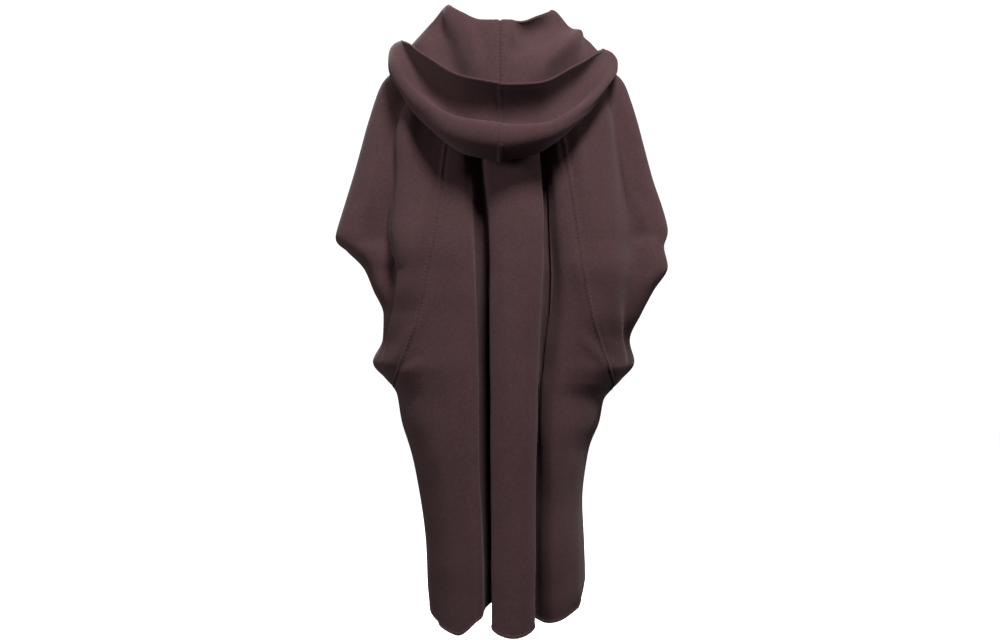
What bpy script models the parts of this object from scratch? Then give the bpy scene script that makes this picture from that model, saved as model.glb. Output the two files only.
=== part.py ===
"""A burnous: a long hooded cloak of heavy double-faced wool with deep raglan sleeves.

Metres, +Z up. The cloak keeps the form it has when worn. Its back faces -Y and the
origin is at the middle of the neck, level with the nape.
"""

import math

import bpy
import numpy as np

# Driving sizes
WALL = 0.0024
SEAM_GAP = 0.0003
NECK_SEAM_GAP = 0.0006
FRONT_GAP_NECK = 0.006
FRONT_GAP_HEM = 0.022
COLOUR = (0.062, 0.036, 0.039, 1.0)

# The cloak in level sections, from the neckline to the hem.
# Each has the heights of its left side, right side, centre back and centre front, the two
# sides' x, half the sleeve opening, the sides' y, the reach of the back and of the front
# from there, the power of the oval that joins them, and how fast it drops from side to
# centre.
SECTION_NAMES = ("z_left", "z_right", "z_back", "z_front", "x_left", "x_right",
                 "open", "y_side", "back", "front", "power", "drop")
SECTIONS = {
    "neck":          (0.022, 0.022, 0.012, -0.058, -0.084, 0.084, 0, 0.006, 0.074, 0.082, 2.0, 2),
    "neck_base":     (0.004, 0.004, -0.008, -0.078, -0.096, 0.096, 0, 0.006, 0.080, 0.090, 2.0, 2),
    "shoulder":      (-0.014, -0.014, -0.054, -0.108, -0.138, 0.140, 0, 0.005, 0.090, 0.098, 2.1, 2),
    "shoulder_tip":  (-0.034, -0.034, -0.106, -0.142, -0.196, 0.199, 0, 0.004, 0.100, 0.106, 2.1, 2),
    "shoulder_edge": (-0.064, -0.062, -0.150, -0.176, -0.232, 0.240, 0, 0.003, 0.110, 0.112, 2.2, 2),
    "upper_arm":     (-0.140, -0.140, -0.212, -0.222, -0.259, 0.268, 0, 0.002, 0.122, 0.118, 2.3, 2),
    "mid_arm":       (-0.250, -0.250, -0.290, -0.292, -0.289, 0.296, 0, 0.001, 0.134, 0.123, 2.3, 2),
    "elbow":         (-0.376, -0.362, -0.376, -0.376, -0.326, 0.329, 0, 0.000, 0.142, 0.126, 2.3, 2),
    "cuff_1":        (-0.404, -0.396, -0.408, -0.408, -0.301, 0.320, 0.024, 0, 0.144, 0.127, 2.3, 2),
    "cuff_2":        (-0.440, -0.436, -0.442, -0.442, -0.266, 0.327, 0.040, 0, 0.146, 0.128, 2.3, 2),
    "cuff_3":        (-0.484, -0.482, -0.484, -0.484, -0.247, 0.299, 0.050, 0, 0.147, 0.128, 2.3, 2),
    "cuff_4":        (-0.530, -0.530, -0.530, -0.530, -0.228, 0.275, 0.048, 0, 0.148, 0.128, 2.3, 2),
    "cuff_5":        (-0.578, -0.578, -0.578, -0.578, -0.231, 0.255, 0.032, 0, 0.149, 0.128, 2.3, 2),
    "underarm":      (-0.624, -0.624, -0.624, -0.624, -0.253, 0.267, 0, 0.000, 0.150, 0.128, 2.3, 2),
    "side_corner":   (-0.655, -0.660, -0.656, -0.656, -0.228, 0.240, 0, 0.000, 0.151, 0.128, 2.3, 2),
    "side_top":      (-0.686, -0.698, -0.690, -0.690, -0.204, 0.205, 0, 0.000, 0.152, 0.128, 2.3, 2),
    "hip":           (-0.740, -0.742, -0.742, -0.742, -0.195, 0.196, 0, 0.000, 0.153, 0.128, 2.3, 2),
    "thigh":         (-0.800, -0.800, -0.800, -0.800, -0.177, 0.174, 0, 0.000, 0.154, 0.128, 2.3, 2),
    "knee":          (-0.900, -0.900, -0.900, -0.900, -0.157, 0.163, 0, 0.000, 0.155, 0.129, 2.2, 2),
    "shin":          (-0.992, -0.988, -1.000, -0.995, -0.145, 0.167, 0, 0.000, 0.156, 0.130, 2.2, 1.6),
    "ankle":         (-1.066, -1.052, -1.085, -1.075, -0.142, 0.168, 0, 0.000, 0.157, 0.131, 2.1, 1.2),
    "hem":           (-1.112, -1.088, -1.145, -1.130, -0.138, 0.160, 0, 0.000, 0.158, 0.132, 2.1, 1.0),
}
ROWS_BETWEEN = (1, 2, 2, 1, 2, 3, 3, 2, 1, 1, 1, 1, 1, 1, 1, 2, 2, 3, 3, 2, 2)

# Lines that run down the cloth: crests, edges of folds and bottoms of folds, from left to
# right. Each has its x and how far it lies inside the plain section, at the fold levels,
# and how far the hem is lifted there. Where x is a number below 1 without a list, the line
# lies at that share of the way round from the side to the next listed line.
FOLD_LEVELS = (0.0, -0.16, -0.376, -0.50, -0.624, -0.80, -1.14)
HEM_LIFT_FROM = "thigh"
BACK_LINES = {
    "left_arm_crest":   (0.55, (0, -0.002, -0.006, -0.002, 0, 0, 0), 0),
    "left_arm_dip":     (0.87, (0, 0.017, 0.035, 0.008, 0.001, 0, 0), 0),
    "left_body_crest":  ((-0.060, -0.169, -0.183, -0.199, -0.225, -0.148, -0.115),
                         (0, -0.003, -0.009, -0.006, -0.002, 0, 0), -0.007),
    "left_body_flat":   ((-0.046, -0.120, -0.126, -0.130, -0.135, -0.106, -0.084),
                         (0, 0.002, 0.003, 0.003, 0.003, 0.002, 0.002), -0.010),
    "left_lobe_edge":   ((-0.032, -0.071, -0.060, -0.054, -0.050, -0.049, -0.045),
                         (0, 0.006, 0.010, 0.010, 0.010, 0.010, 0.010), 0.028),
    "left_deep_wall":   ((-0.027, -0.060, -0.051, -0.052, -0.054, -0.056, -0.052),
                         (0, 0.020, 0.034, 0.042, 0.046, 0.048, 0.050), 0.044),
    "left_deep_foot":   ((-0.021, -0.046, -0.032, -0.029, -0.028, -0.028, -0.028),
                         (0, 0.034, 0.060, 0.076, 0.088, 0.092, 0.096), 0.056),
    "centre_left_wall": ((-0.015, -0.034, -0.021, -0.018, -0.014, -0.011, -0.011),
                         (0, 0.024, 0.036, 0.044, 0.048, 0.050, 0.052), 0.036),
    "centre_left_edge": ((-0.010, -0.025, -0.016, -0.015, -0.015, -0.015, -0.017),
                         (0, 0.010, 0.013, 0.012, 0.012, 0.012, 0.012), 0.013),
    "centre_crest":     ((0.006, 0.015, 0.031, 0.030, 0.029, 0.027, 0.027),
                         (0, -0.002, -0.004, -0.005, -0.005, -0.006, -0.006), -0.001),
    "centre_edge":      ((0.024, 0.066, 0.077, 0.074, 0.071, 0.070, 0.069),
                         (0, 0.006, 0.010, 0.010, 0.011, 0.012, 0.012), 0.011),
    "centre_wall":      ((0.027, 0.072, 0.081, 0.079, 0.076, 0.074, 0.073),
                         (0, 0.024, 0.040, 0.044, 0.047, 0.050, 0.052), 0.037),
    "right_deep_foot":  ((0.033, 0.082, 0.097, 0.098, 0.095, 0.091, 0.090),
                         (0, 0.034, 0.060, 0.066, 0.070, 0.072, 0.075), 0.030),
    "right_deep_flat":  ((0.040, 0.096, 0.117, 0.120, 0.117, 0.110, 0.109),
                         (0, 0.031, 0.054, 0.060, 0.063, 0.065, 0.068), 0.012),
    "right_lobe_edge":  ((0.045, 0.108, 0.131, 0.136, 0.133, 0.123, 0.121),
                         (0, 0.011, 0.022, 0.025, 0.027, 0.028, 0.031), 0.004),
    "right_lobe_side":  ((0.053, 0.132, 0.155, 0.162, 0.162, 0.137, 0.134),
                         (0, 0.001, 0.004, 0.005, 0.006, 0.007, 0.009), 0.006),
    "right_body_crest": ((0.068, 0.196, 0.206, 0.218, 0.240, 0.154, 0.148),
                         (0, -0.004, -0.009, -0.007, -0.003, 0, 0), 0.004),
    "right_arm_dip":    (0.72, (0, 0.013, 0.026, 0.011, 0.003, 0, 0), 0),
    "right_arm_crest":  (0.42, (0, -0.004, -0.009, -0.005, 0, 0, 0), 0),
}
FRONT_LINES = {
    "left_arm_crest":   (0.50, (0, -0.002, -0.004, -0.002, 0, 0, 0), 0),
    "left_arm_dip":     (0.85, (0, 0.010, 0.022, 0.010, 0.004, 0, 0), 0),
    "left_body_crest":  ((-0.060, -0.158, -0.172, -0.184, -0.195, -0.138, -0.110),
                         (0, -0.002, -0.006, -0.005, -0.003, 0, 0), 0),
    "left_fold_foot":   ((-0.042, -0.112, -0.114, -0.114, -0.114, -0.100, -0.086),
                         (0, 0.006, 0.018, 0.024, 0.030, 0.034, 0.038), 0.014),
    "left_front_crest": ((-0.028, -0.062, -0.064, -0.064, -0.064, -0.062, -0.056),
                         (0, 0, -0.003, -0.004, -0.004, -0.006, -0.008), 0),
    "left_front_edge":  ((-0.010, -0.022, -0.022, -0.022, -0.022, -0.022, -0.022),
                         (0, 0.002, 0.004, 0.005, 0.006, 0.008, 0.010), 0.003),
    "right_front_edge": ((0.010, 0.022, 0.022, 0.022, 0.022, 0.022, 0.022),
                         (0, 0.002, 0.003, 0.004, 0.004, 0.006, 0.008), 0.003),
    "right_front_crest": ((0.028, 0.066, 0.068, 0.067, 0.066, 0.064, 0.060),
                          (0, 0, -0.003, -0.004, -0.004, -0.006, -0.008), 0),
    "right_fold_foot":  ((0.042, 0.116, 0.120, 0.121, 0.122, 0.106, 0.098),
                         (0, 0.006, 0.020, 0.026, 0.032, 0.036, 0.040), 0.016),
    "right_body_crest": ((0.060, 0.162, 0.182, 0.194, 0.205, 0.140, 0.130),
                         (0, -0.002, -0.006, -0.005, -0.003, 0, 0), 0),
    "right_arm_dip":    (0.85, (0, 0.010, 0.022, 0.010, 0.004, 0, 0), 0),
    "right_arm_crest":  (0.50, (0, -0.002, -0.004, -0.002, 0, 0, 0), 0),
}

# The raglan seams: their x at each height of the section's middle.
RAGLAN_LEVELS = (0.012, -0.10, -0.24, -0.345, -0.44, -0.53, -0.60, -0.63, -0.66, -0.70)
BACK_RAGLAN_LEFT = (-0.048, -0.080, -0.110, -0.121, -0.140, -0.158, -0.182, -0.196, -0.206, -0.23)
BACK_RAGLAN_RIGHT = (0.053, 0.102, 0.131, 0.148, 0.162, 0.178, 0.199, 0.210, 0.221, 0.23)
FRONT_RAGLAN_LEFT = (-0.048, -0.078, -0.106, -0.118, -0.134, -0.154, -0.178, -0.192, -0.204, -0.23)
FRONT_RAGLAN_RIGHT = (0.048, 0.080, 0.110, 0.122, 0.138, 0.160, 0.186, 0.200, 0.212, 0.23)

# The hood lies open round the neck. Each row is one azimuth in degrees from the centre
# back, with the reach out from the neckline and the height of nine places on its way from
# the neck seam to the face edge.
HOOD_PLACES = ("top", "inside", "inside_low", "bottom", "roll", "crease", "dip", "band", "face_edge")
HOOD = {
    0:   ((0.018, 0.043), (0.036, -0.030), (0.052, -0.130), (0.078, -0.238), (0.120, -0.216),
          (0.125, -0.170), (0.094, -0.182), (0.093, -0.135), (0.110, -0.090)),
    22:  ((0.019, 0.046), (0.038, -0.024), (0.056, -0.118), (0.084, -0.222), (0.125, -0.200),
          (0.130, -0.158), (0.100, -0.169), (0.098, -0.120), (0.114, -0.074)),
    45:  ((0.021, 0.064), (0.046, 0.002), (0.076, -0.084), (0.106, -0.166), (0.134, -0.150),
          (0.138, -0.106), (0.112, -0.113), (0.106, -0.070), (0.115, -0.030)),
    65:  ((0.022, 0.080), (0.054, 0.036), (0.098, -0.034), (0.128, -0.084), (0.143, -0.072),
          (0.143, -0.040), (0.130, -0.033), (0.118, -0.016), (0.113, 0.002)),
    76:  ((0.020, 0.086), (0.053, 0.048), (0.092, 0.000), (0.118, -0.036), (0.137, -0.044),
          (0.140, -0.018), (0.131, -0.006), (0.120, 0.004), (0.112, 0.011)),
    88:  ((0.019, 0.088), (0.050, 0.055), (0.079, 0.020), (0.104, -0.006), (0.127, -0.020),
          (0.134, -0.002), (0.128, 0.010), (0.118, 0.016), (0.109, 0.018)),
    112: ((0.013, 0.074), (0.033, 0.046), (0.054, 0.012), (0.077, -0.016), (0.103, -0.030),
          (0.111, -0.012), (0.107, 0.004), (0.099, 0.012), (0.090, 0.014)),
    135: ((0.008, 0.036), (0.021, 0.016), (0.035, -0.012), (0.051, -0.034), (0.069, -0.046),
          (0.076, -0.032), (0.074, -0.018), (0.068, -0.010), (0.060, -0.008)),
    158: ((0.006, -0.014), (0.013, -0.022), (0.021, -0.038), (0.031, -0.052), (0.041, -0.060),
          (0.046, -0.050), (0.045, -0.040), (0.041, -0.034), (0.035, -0.032)),
    174: ((0.005, -0.040), (0.009, -0.040), (0.013, -0.044), (0.018, -0.048), (0.022, -0.050),
          (0.025, -0.046), (0.025, -0.040), (0.023, -0.036), (0.019, -0.034)),
}
HOOD_RIGHT_LOWER = 0.017
HOOD_RIGHT_PEAK_LOWER = 0.010
HOOD_RIGHT_WIDER = 0.09
HOOD_COLUMNS = 9
HOOD_STEPS = (2, 2, 2, 2, 2, 2, 1, 1, 1, 1)


def gentle(xs, ys, x):
    """A cubic through the points that doesn't overshoot them. xs rises."""
    xs = np.asarray(xs, float)
    ys = np.asarray(ys, float)
    x = np.clip(x, xs[0], xs[-1])
    step = np.diff(xs)
    rise = np.diff(ys) / step
    slope = np.zeros(len(xs))
    slope[0] = rise[0]
    slope[-1] = rise[-1]
    for i in range(1, len(xs) - 1):
        if rise[i - 1] * rise[i] > 0:
            before = 2 * step[i] + step[i - 1]
            after = step[i] + 2 * step[i - 1]
            slope[i] = (before + after) / (before / rise[i - 1] + after / rise[i])
    i = np.clip(np.searchsorted(xs, x, side="right") - 1, 0, len(xs) - 2)
    u = (x - xs[i]) / step[i]
    keep = (1 + 2 * u) * (1 - u) ** 2 * ys[i] + u * (1 - u) ** 2 * step[i] * slope[i]
    return keep + u * u * (3 - 2 * u) * ys[i + 1] + u * u * (u - 1) * step[i] * slope[i + 1]


def through(points, q):
    """A smooth curve through the points. q counts points, with fractions between them."""
    points = np.asarray(points, float)
    q = np.clip(np.asarray(q, float), 0, len(points) - 1)
    first = 2 * points[0] - points[1]
    last = 2 * points[-1] - points[-2]
    padded = np.vstack([first, points, last])
    knots = np.concatenate([[0], np.cumsum(np.linalg.norm(np.diff(padded, axis=0), axis=1) ** 0.5)])
    i = np.clip(q.astype(int), 0, len(points) - 2)
    t = [knots[i + k][:, None] for k in range(4)]
    p = [padded[i + k] for k in range(4)]
    u = t[1] + (q - i)[:, None] * (t[2] - t[1])
    a = [((t[k + 1] - u) * p[k] + (u - t[k]) * p[k + 1]) / (t[k + 1] - t[k]) for k in range(3)]
    b = [((t[k + 2] - u) * a[k] + (u - t[k]) * a[k + 1]) / (t[k + 2] - t[k]) for k in range(2)]
    return ((t[2] - u) * b[0] + (u - t[1]) * b[1]) / (t[2] - t[1])


SECTION_ROWS = list(SECTIONS)
SECTION_TABLE = np.array(list(SECTIONS.values()), float)
SECTION_COUNT = np.arange(len(SECTION_ROWS))
ELBOW = SECTION_ROWS.index("elbow")
UNDERARM = SECTION_ROWS.index("underarm")
SIDE_TOP = SECTION_ROWS.index("side_top")
HEM = SECTION_ROWS.index("hem")
HEM_LIFT_START = SECTION_ROWS.index(HEM_LIFT_FROM)


def section(t):
    """The sizes of the section at t, which counts the rows of SECTIONS."""
    values = [float(gentle(SECTION_COUNT, SECTION_TABLE[:, k], t)) for k in range(len(SECTION_NAMES))]
    return dict(zip(SECTION_NAMES, values))


def level_value(values, z):
    return float(gentle([-level for level in FOLD_LEVELS], values, -z))


def oval(part, row, angle):
    """A place on the plain section, without folds. The angle runs from the left side, 0, to the right, pi."""
    middle = (row["x_left"] + row["x_right"]) / 2
    half = (row["x_right"] - row["x_left"]) / 2
    sign = -1 if part == "back" else 1
    reach = row[part] - row["open"]
    if part == "front":
        half = half - 0.3 * row["open"]
    side = np.cos(angle)
    deep = np.abs(np.sin(angle))
    x = middle - half * np.sign(side) * np.abs(side) ** (2 / row["power"])
    y = row["y_side"] + sign * (row["open"] + reach * deep ** (2 / row["power"]))
    share = (1 - side) / 2
    z_side = row["z_left"] * (1 - share) + row["z_right"] * share
    weight = deep ** row["drop"]
    z = z_side * (1 - weight) + row["z_" + part] * weight
    return np.stack([x, y, z], axis=-1)


def fold_path(part, row):
    """The fold lines at this section, as distance round and distance inside, and their lifts of the hem."""
    lines = BACK_LINES if part == "back" else FRONT_LINES
    middle = (row["x_left"] + row["x_right"]) / 2
    half = (row["x_right"] - row["x_left"]) / 2
    z = row["z_back"]
    angles = []
    insets = []
    for place, inset, _ in lines.values():
        insets.append(level_value(inset, z))
        if isinstance(place, float):
            angles.append(None)
            continue
        share = np.clip((level_value(place, z) - middle) / half, -0.97, 0.97)
        angles.append(math.acos(-math.copysign(abs(share) ** (row["power"] / 2), share)))
    shares = [place for place, _, _ in lines.values()]
    lifts = [0.0] + [lift for _, _, lift in lines.values()] + [0.0]
    angles[0] = shares[0] * angles[2]
    angles[1] = shares[1] * angles[2]
    angles[-2] = math.pi - shares[-2] * (math.pi - angles[-3])
    angles[-1] = math.pi - shares[-1] * (math.pi - angles[-3])
    angles = [0.0] + angles + [math.pi]
    insets = [0.0] + insets + [0.0]
    return np.array([[angle * half, inset] for angle, inset in zip(angles, insets)]), lifts, half


def cloth(part, t, q):
    """Points of the cloak's middle surface, at section t and at q along the fold lines."""
    row = section(t)
    path, lifts, half = fold_path(part, row)
    spot = through(path, q)
    angle = np.clip(spot[:, 0] / half, 0, math.pi)
    small = 1e-3
    low = np.clip(angle - small, 0, math.pi)
    high = np.clip(angle + small, 0, math.pi)
    along = oval(part, row, high) - oval(part, row, low)
    length = np.hypot(along[:, 0], along[:, 1])
    sign = 1 if part == "back" else -1
    inward = np.stack([-along[:, 1], along[:, 0], np.zeros(len(angle))], axis=-1) * sign / length[:, None]
    points = oval(part, row, angle) + inward * spot[:, 1:2]
    share = np.clip((t - HEM_LIFT_START) / (HEM - HEM_LIFT_START), 0, 1)
    points[:, 2] += gentle(range(len(lifts)), lifts, q) * share ** 2 * (3 - 2 * share)
    return points


def cloth_normals(part, t, q):
    """Unit normals of the middle surface, pointing out of the cloak."""
    last = len(BACK_LINES if part == "back" else FRONT_LINES) + 1
    q = np.asarray(q, float)
    across = cloth(part, t, np.clip(q + 0.02, 0, last)) - cloth(part, t, np.clip(q - 0.02, 0, last))
    down = cloth(part, min(t + 0.02, HEM), q) - cloth(part, max(t - 0.02, 0), q)
    normal = np.cross(down, across)
    if part == "back":
        normal = -normal
    return normal / np.linalg.norm(normal, axis=1)[:, None]


def side_normal(t, right):
    """The normal shared by back and front where they meet at the side."""
    back_end = len(BACK_LINES) + 1 if right else 0
    front_end = len(FRONT_LINES) + 1 if right else 0
    total = cloth_normals("back", t, [back_end])[0] + cloth_normals("front", t, [front_end])[0]
    return total / np.linalg.norm(total)


BACK_LAST = len(BACK_LINES) + 1
FRONT_LAST = len(FRONT_LINES) + 1
BACK_ORDER = list(BACK_LINES)
LEFT_LOBE = BACK_ORDER.index("left_lobe_edge") + 1
RIGHT_LOBE = BACK_ORDER.index("right_lobe_edge") + 1
FRONT_MIDDLE = FRONT_LAST / 2


def at_x(part, t, x, start, stop):
    """q where the section reaches x, looking from start towards stop."""
    q = np.linspace(start, stop, 160)
    found = cloth(part, t, q)[:, 0] - x
    change = np.nonzero(found[:-1] * found[1:] <= 0)[0]
    if len(change) == 0:
        return None
    i = change[0]
    share = found[i] / (found[i] - found[i + 1])
    return q[i] + share * (q[i + 1] - q[i])


def seam_q(part, t, right):
    """q of the raglan seam at section t, or the side's own q from the side seam down."""
    last = BACK_LAST if part == "back" else FRONT_LAST
    side = last if right else 0
    if t >= SIDE_TOP - 1e-6:
        return float(side)
    tables = {
        ("back", False): BACK_RAGLAN_LEFT,
        ("back", True): BACK_RAGLAN_RIGHT,
        ("front", False): FRONT_RAGLAN_LEFT,
        ("front", True): FRONT_RAGLAN_RIGHT,
    }
    z = section(t)["z_back"]
    x = float(gentle([-level for level in RAGLAN_LEVELS], tables[(part, right)], -z))
    if part == "back":
        start = RIGHT_LOBE if right else LEFT_LOBE
    else:
        start = FRONT_MIDDLE
    q = at_x(part, t, x, start, side)
    least = 0.25 * (SIDE_TOP - t)
    if q is None:
        q = side
    if abs(q - side) < least:
        q = side - least if right else side + least
    return float(q)


def even(part, t, start, stop, count):
    """count + 1 values of q, evenly spaced over the cloth from start to stop."""
    q = np.linspace(start, stop, 80)
    steps = np.linalg.norm(np.diff(cloth(part, t, q), axis=0), axis=1)
    travelled = np.concatenate([[0], np.cumsum(steps)])
    return np.interp(np.linspace(0, travelled[-1], count + 1), travelled, q)


def shifted(part, t, q, distance):
    """q moved by a small distance over the cloth."""
    ahead = cloth(part, t, [q + 0.01, q - 0.01])
    return q + distance * 0.02 / np.linalg.norm(ahead[0] - ahead[1])


def mesh_rows():
    """The sections that carry a row of mesh points."""
    rows = []
    for i, count in enumerate(ROWS_BETWEEN):
        rows.extend(i + k / count for k in range(count))
    rows.append(float(HEM))
    return rows


def grid_faces(rows, columns, keep=None):
    faces = []
    for r in range(rows - 1):
        for c in range(columns - 1):
            if keep is None or keep(r, c):
                first = r * columns + c
                faces.append((first, first + 1, first + columns + 1, first + columns))
    return faces


def make_wall(name, points, normals, faces, colour):
    """A closed wall of cloth round the middle surface, with its outside along the normals."""
    points = np.asarray(points)
    normals = np.asarray(normals)
    used = sorted({index for face in faces for index in face})
    place = {index: i for i, index in enumerate(used)}
    points = points[used]
    normals = normals[used]
    faces = [tuple(place[index] for index in face) for face in faces]
    count = len(points)
    vertices = np.vstack([points + normals * WALL / 2, points - normals * WALL / 2])
    shell = list(faces)
    shell += [tuple(index + count for index in reversed(face)) for face in faces]
    edges = set()
    for face in faces:
        for a, b in zip(face, face[1:] + face[:1]):
            if (b, a) in edges:
                edges.remove((b, a))
            else:
                edges.add((a, b))
    for a, b in sorted(edges):
        if points[a][2] >= points[b][2]:
            shell += [(b, a, b + count), (a, a + count, b + count)]
        else:
            shell += [(b, a, a + count), (b, a + count, b + count)]
    volume = 0.0
    for face in shell:
        for k in range(1, len(face) - 1):
            a, b, c = (vertices[face[m]] for m in (0, k, k + 1))
            volume += np.dot(a, np.cross(b, c))
    if volume < 0:
        shell = [tuple(reversed(face)) for face in shell]
    mesh = bpy.data.meshes.new(name)
    mesh.from_pydata([tuple(map(float, vertex)) for vertex in vertices], [], shell)
    mesh.update()
    for polygon in mesh.polygons:
        polygon.use_smooth = True
    piece = bpy.data.objects.new(name, mesh)
    bpy.context.scene.collection.objects.link(piece)
    mesh.materials.append(wool("wool_" + name, colour))
    return piece


def wool(name, colour):
    material = bpy.data.materials.new(name)
    material.use_nodes = True
    shader = material.node_tree.nodes["Principled BSDF"]
    shader.inputs["Base Color"].default_value = colour
    shader.inputs["Roughness"].default_value = 0.9
    shader.inputs["Metallic"].default_value = 0.0
    return material


def back_columns(t):
    """q of each mesh column of the back panel."""
    left = shifted("back", t, seam_q("back", t, False), SEAM_GAP / 2)
    right = shifted("back", t, seam_q("back", t, True), -SEAM_GAP / 2)
    q = list(even("back", t, left, LEFT_LOBE, 7))
    for station in range(LEFT_LOBE, RIGHT_LOBE):
        crest = BACK_ORDER[station - 1] == "centre_crest" or BACK_ORDER[station] == "centre_crest"
        count = 3 if crest else 2
        q.extend(station + (k + 1) / count for k in range(count))
    q.extend(even("back", t, RIGHT_LOBE, right, 7)[1:])
    return np.array(q)


def make_back():
    points = []
    normals = []
    rows = mesh_rows()
    for t in rows:
        q = back_columns(t)
        normal = cloth_normals("back", t, q)
        if t >= SIDE_TOP - 1e-6:
            normal[0] = side_normal(t, False)
            normal[-1] = side_normal(t, True)
        points.extend(cloth("back", t, q))
        normals.extend(normal)
    make_wall("back", points, normals, grid_faces(len(rows), len(q)), COLOUR)


def make_front(right):
    """One front panel, from its raglan seam or side seam to the open centre front."""
    points = []
    normals = []
    rows = mesh_rows()
    side = 1 if right else -1
    for t in rows:
        share = t / HEM
        gap = FRONT_GAP_NECK + (FRONT_GAP_HEM - FRONT_GAP_NECK) * share
        outer = FRONT_LAST if right else 0
        edge = at_x("front", t, side * gap / 2, FRONT_MIDDLE - 0.8 * side, outer)
        seam = shifted("front", t, seam_q("front", t, right), -side * SEAM_GAP / 2)
        q = even("front", t, seam, edge, 10)
        normal = cloth_normals("front", t, q)
        if t >= SIDE_TOP - 1e-6:
            normal[0] = side_normal(t, right)
        points.extend(cloth("front", t, q))
        normals.extend(normal)
    name = "front_right" if right else "front_left"
    make_wall(name, points, normals, grid_faces(len(rows), len(q)), COLOUR)


def make_sleeve(right):
    """One raglan sleeve: from the back seam over the arm to the front seam, open at the cuff."""
    points = []
    normals = []
    rows = [t for t in mesh_rows() if t <= SIDE_TOP + 1e-6]
    side = 1 if right else -1
    back_count = 9
    front_count = 8
    columns = back_count + front_count + 2
    for t in rows:
        back_side = float(BACK_LAST) if right else 0.0
        front_side = float(FRONT_LAST) if right else 0.0
        if t >= SIDE_TOP - 1e-6:
            tip = shifted("back", t - 0.12, back_side, 0)
            spot = cloth("back", t - 0.03, [tip])[0]
            points.extend([spot] * columns)
            normals.extend([side_normal(t, right)] * columns)
            continue
        back_seam = shifted("back", t, seam_q("back", t, right), side * SEAM_GAP / 2)
        front_seam = shifted("front", t, seam_q("front", t, right), side * SEAM_GAP / 2)
        back_q = even("back", t, back_seam, back_side, back_count)
        front_q = even("front", t, front_side, front_seam, front_count)
        back_normal = cloth_normals("back", t, back_q)
        front_normal = cloth_normals("front", t, front_q)
        if t <= ELBOW + 1e-6 or t >= UNDERARM - 1e-6:
            back_normal[-1] = side_normal(t, right)
            front_normal[0] = back_normal[-1]
        points.extend(cloth("back", t, back_q))
        points.extend(cloth("front", t, front_q))
        normals.extend(back_normal)
        normals.extend(front_normal)
    faces = []
    tip_row = len(rows) - 1
    for r in range(len(rows) - 1):
        for c in range(columns - 1):
            a = r * columns + c
            corners = [a, a + 1, a + columns + 1, a + columns]
            if c == back_count:
                continue
            if r + 1 == tip_row:
                corners = [a, a + 1, tip_row * columns]
            faces.append(corners)
    closed = [t <= ELBOW + 1e-6 or t >= UNDERARM - 1e-6 for t in rows]
    merged = []
    for face in faces:
        corners = []
        for index in face:
            r, c = divmod(index, columns)
            if c == back_count + 1 and closed[r]:
                index = index - 1
            corners.append(index)
        merged.append(tuple(corners))
    name = "sleeve_right" if right else "sleeve_left"
    make_wall(name, points, normals, merged, COLOUR)


def neckline(right, azimuth):
    """The neckline's point at one azimuth, the cloak's normal there and the way up along the cloth."""
    turn = math.radians(azimuth)
    part = "back" if azimuth <= 90 else "front"
    angle = abs(math.pi / 2 - turn)
    angle = math.pi - angle if right else angle
    here = oval(part, section(0), np.array([angle]))[0]
    below = oval(part, section(0.02), np.array([angle]))[0]
    spread = oval(part, section(0), np.clip([angle - 0.01, angle + 0.01], 0, math.pi))
    normal = np.cross(below - here, spread[1] - spread[0])
    normal = normal / np.linalg.norm(normal)
    if part == "back":
        normal = -normal
    up = np.cross(spread[1] - spread[0], normal)
    up = up / np.linalg.norm(up)
    if up[2] < 0:
        up = -up
    return here, normal, up


def hood_profile(right, azimuth):
    """The hood's places at one azimuth, from the neck seam to the face edge."""
    side = 1 if right else -1
    azimuths = list(HOOD)
    turn = math.radians(azimuth)
    outward = np.array([math.sin(turn) * side, -math.cos(turn), 0.0])
    neck, _, up = neckline(right, azimuth)
    neck = neck + up * NECK_SEAM_GAP
    places = [neck]
    lower = 0.0
    peak_lower = 0.0
    wider = 1.0
    if right:
        wider = 1 + HOOD_RIGHT_WIDER * math.sin(math.pi * min(azimuth / 165, 1)) ** 2
        lower = HOOD_RIGHT_LOWER * math.sin(math.pi * min(azimuth / 100, 1))
        peak_lower = HOOD_RIGHT_PEAK_LOWER * math.sin(math.pi * min(azimuth / 175, 1)) ** 2
    for k, name in enumerate(HOOD_PLACES):
        reach = float(gentle(azimuths, [HOOD[a][k][0] for a in azimuths], azimuth))
        height = float(gentle(azimuths, [HOOD[a][k][1] for a in azimuths], azimuth))
        if name in ("crease", "dip", "band", "face_edge"):
            height -= lower
        if name in ("top", "inside"):
            height -= peak_lower
        spot = neck + outward * reach * wider
        spot[2] = height
        places.append(spot)
    return np.array(places)


def hood_point(right, azimuth, q):
    return through(hood_profile(right, azimuth), q)


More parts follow.
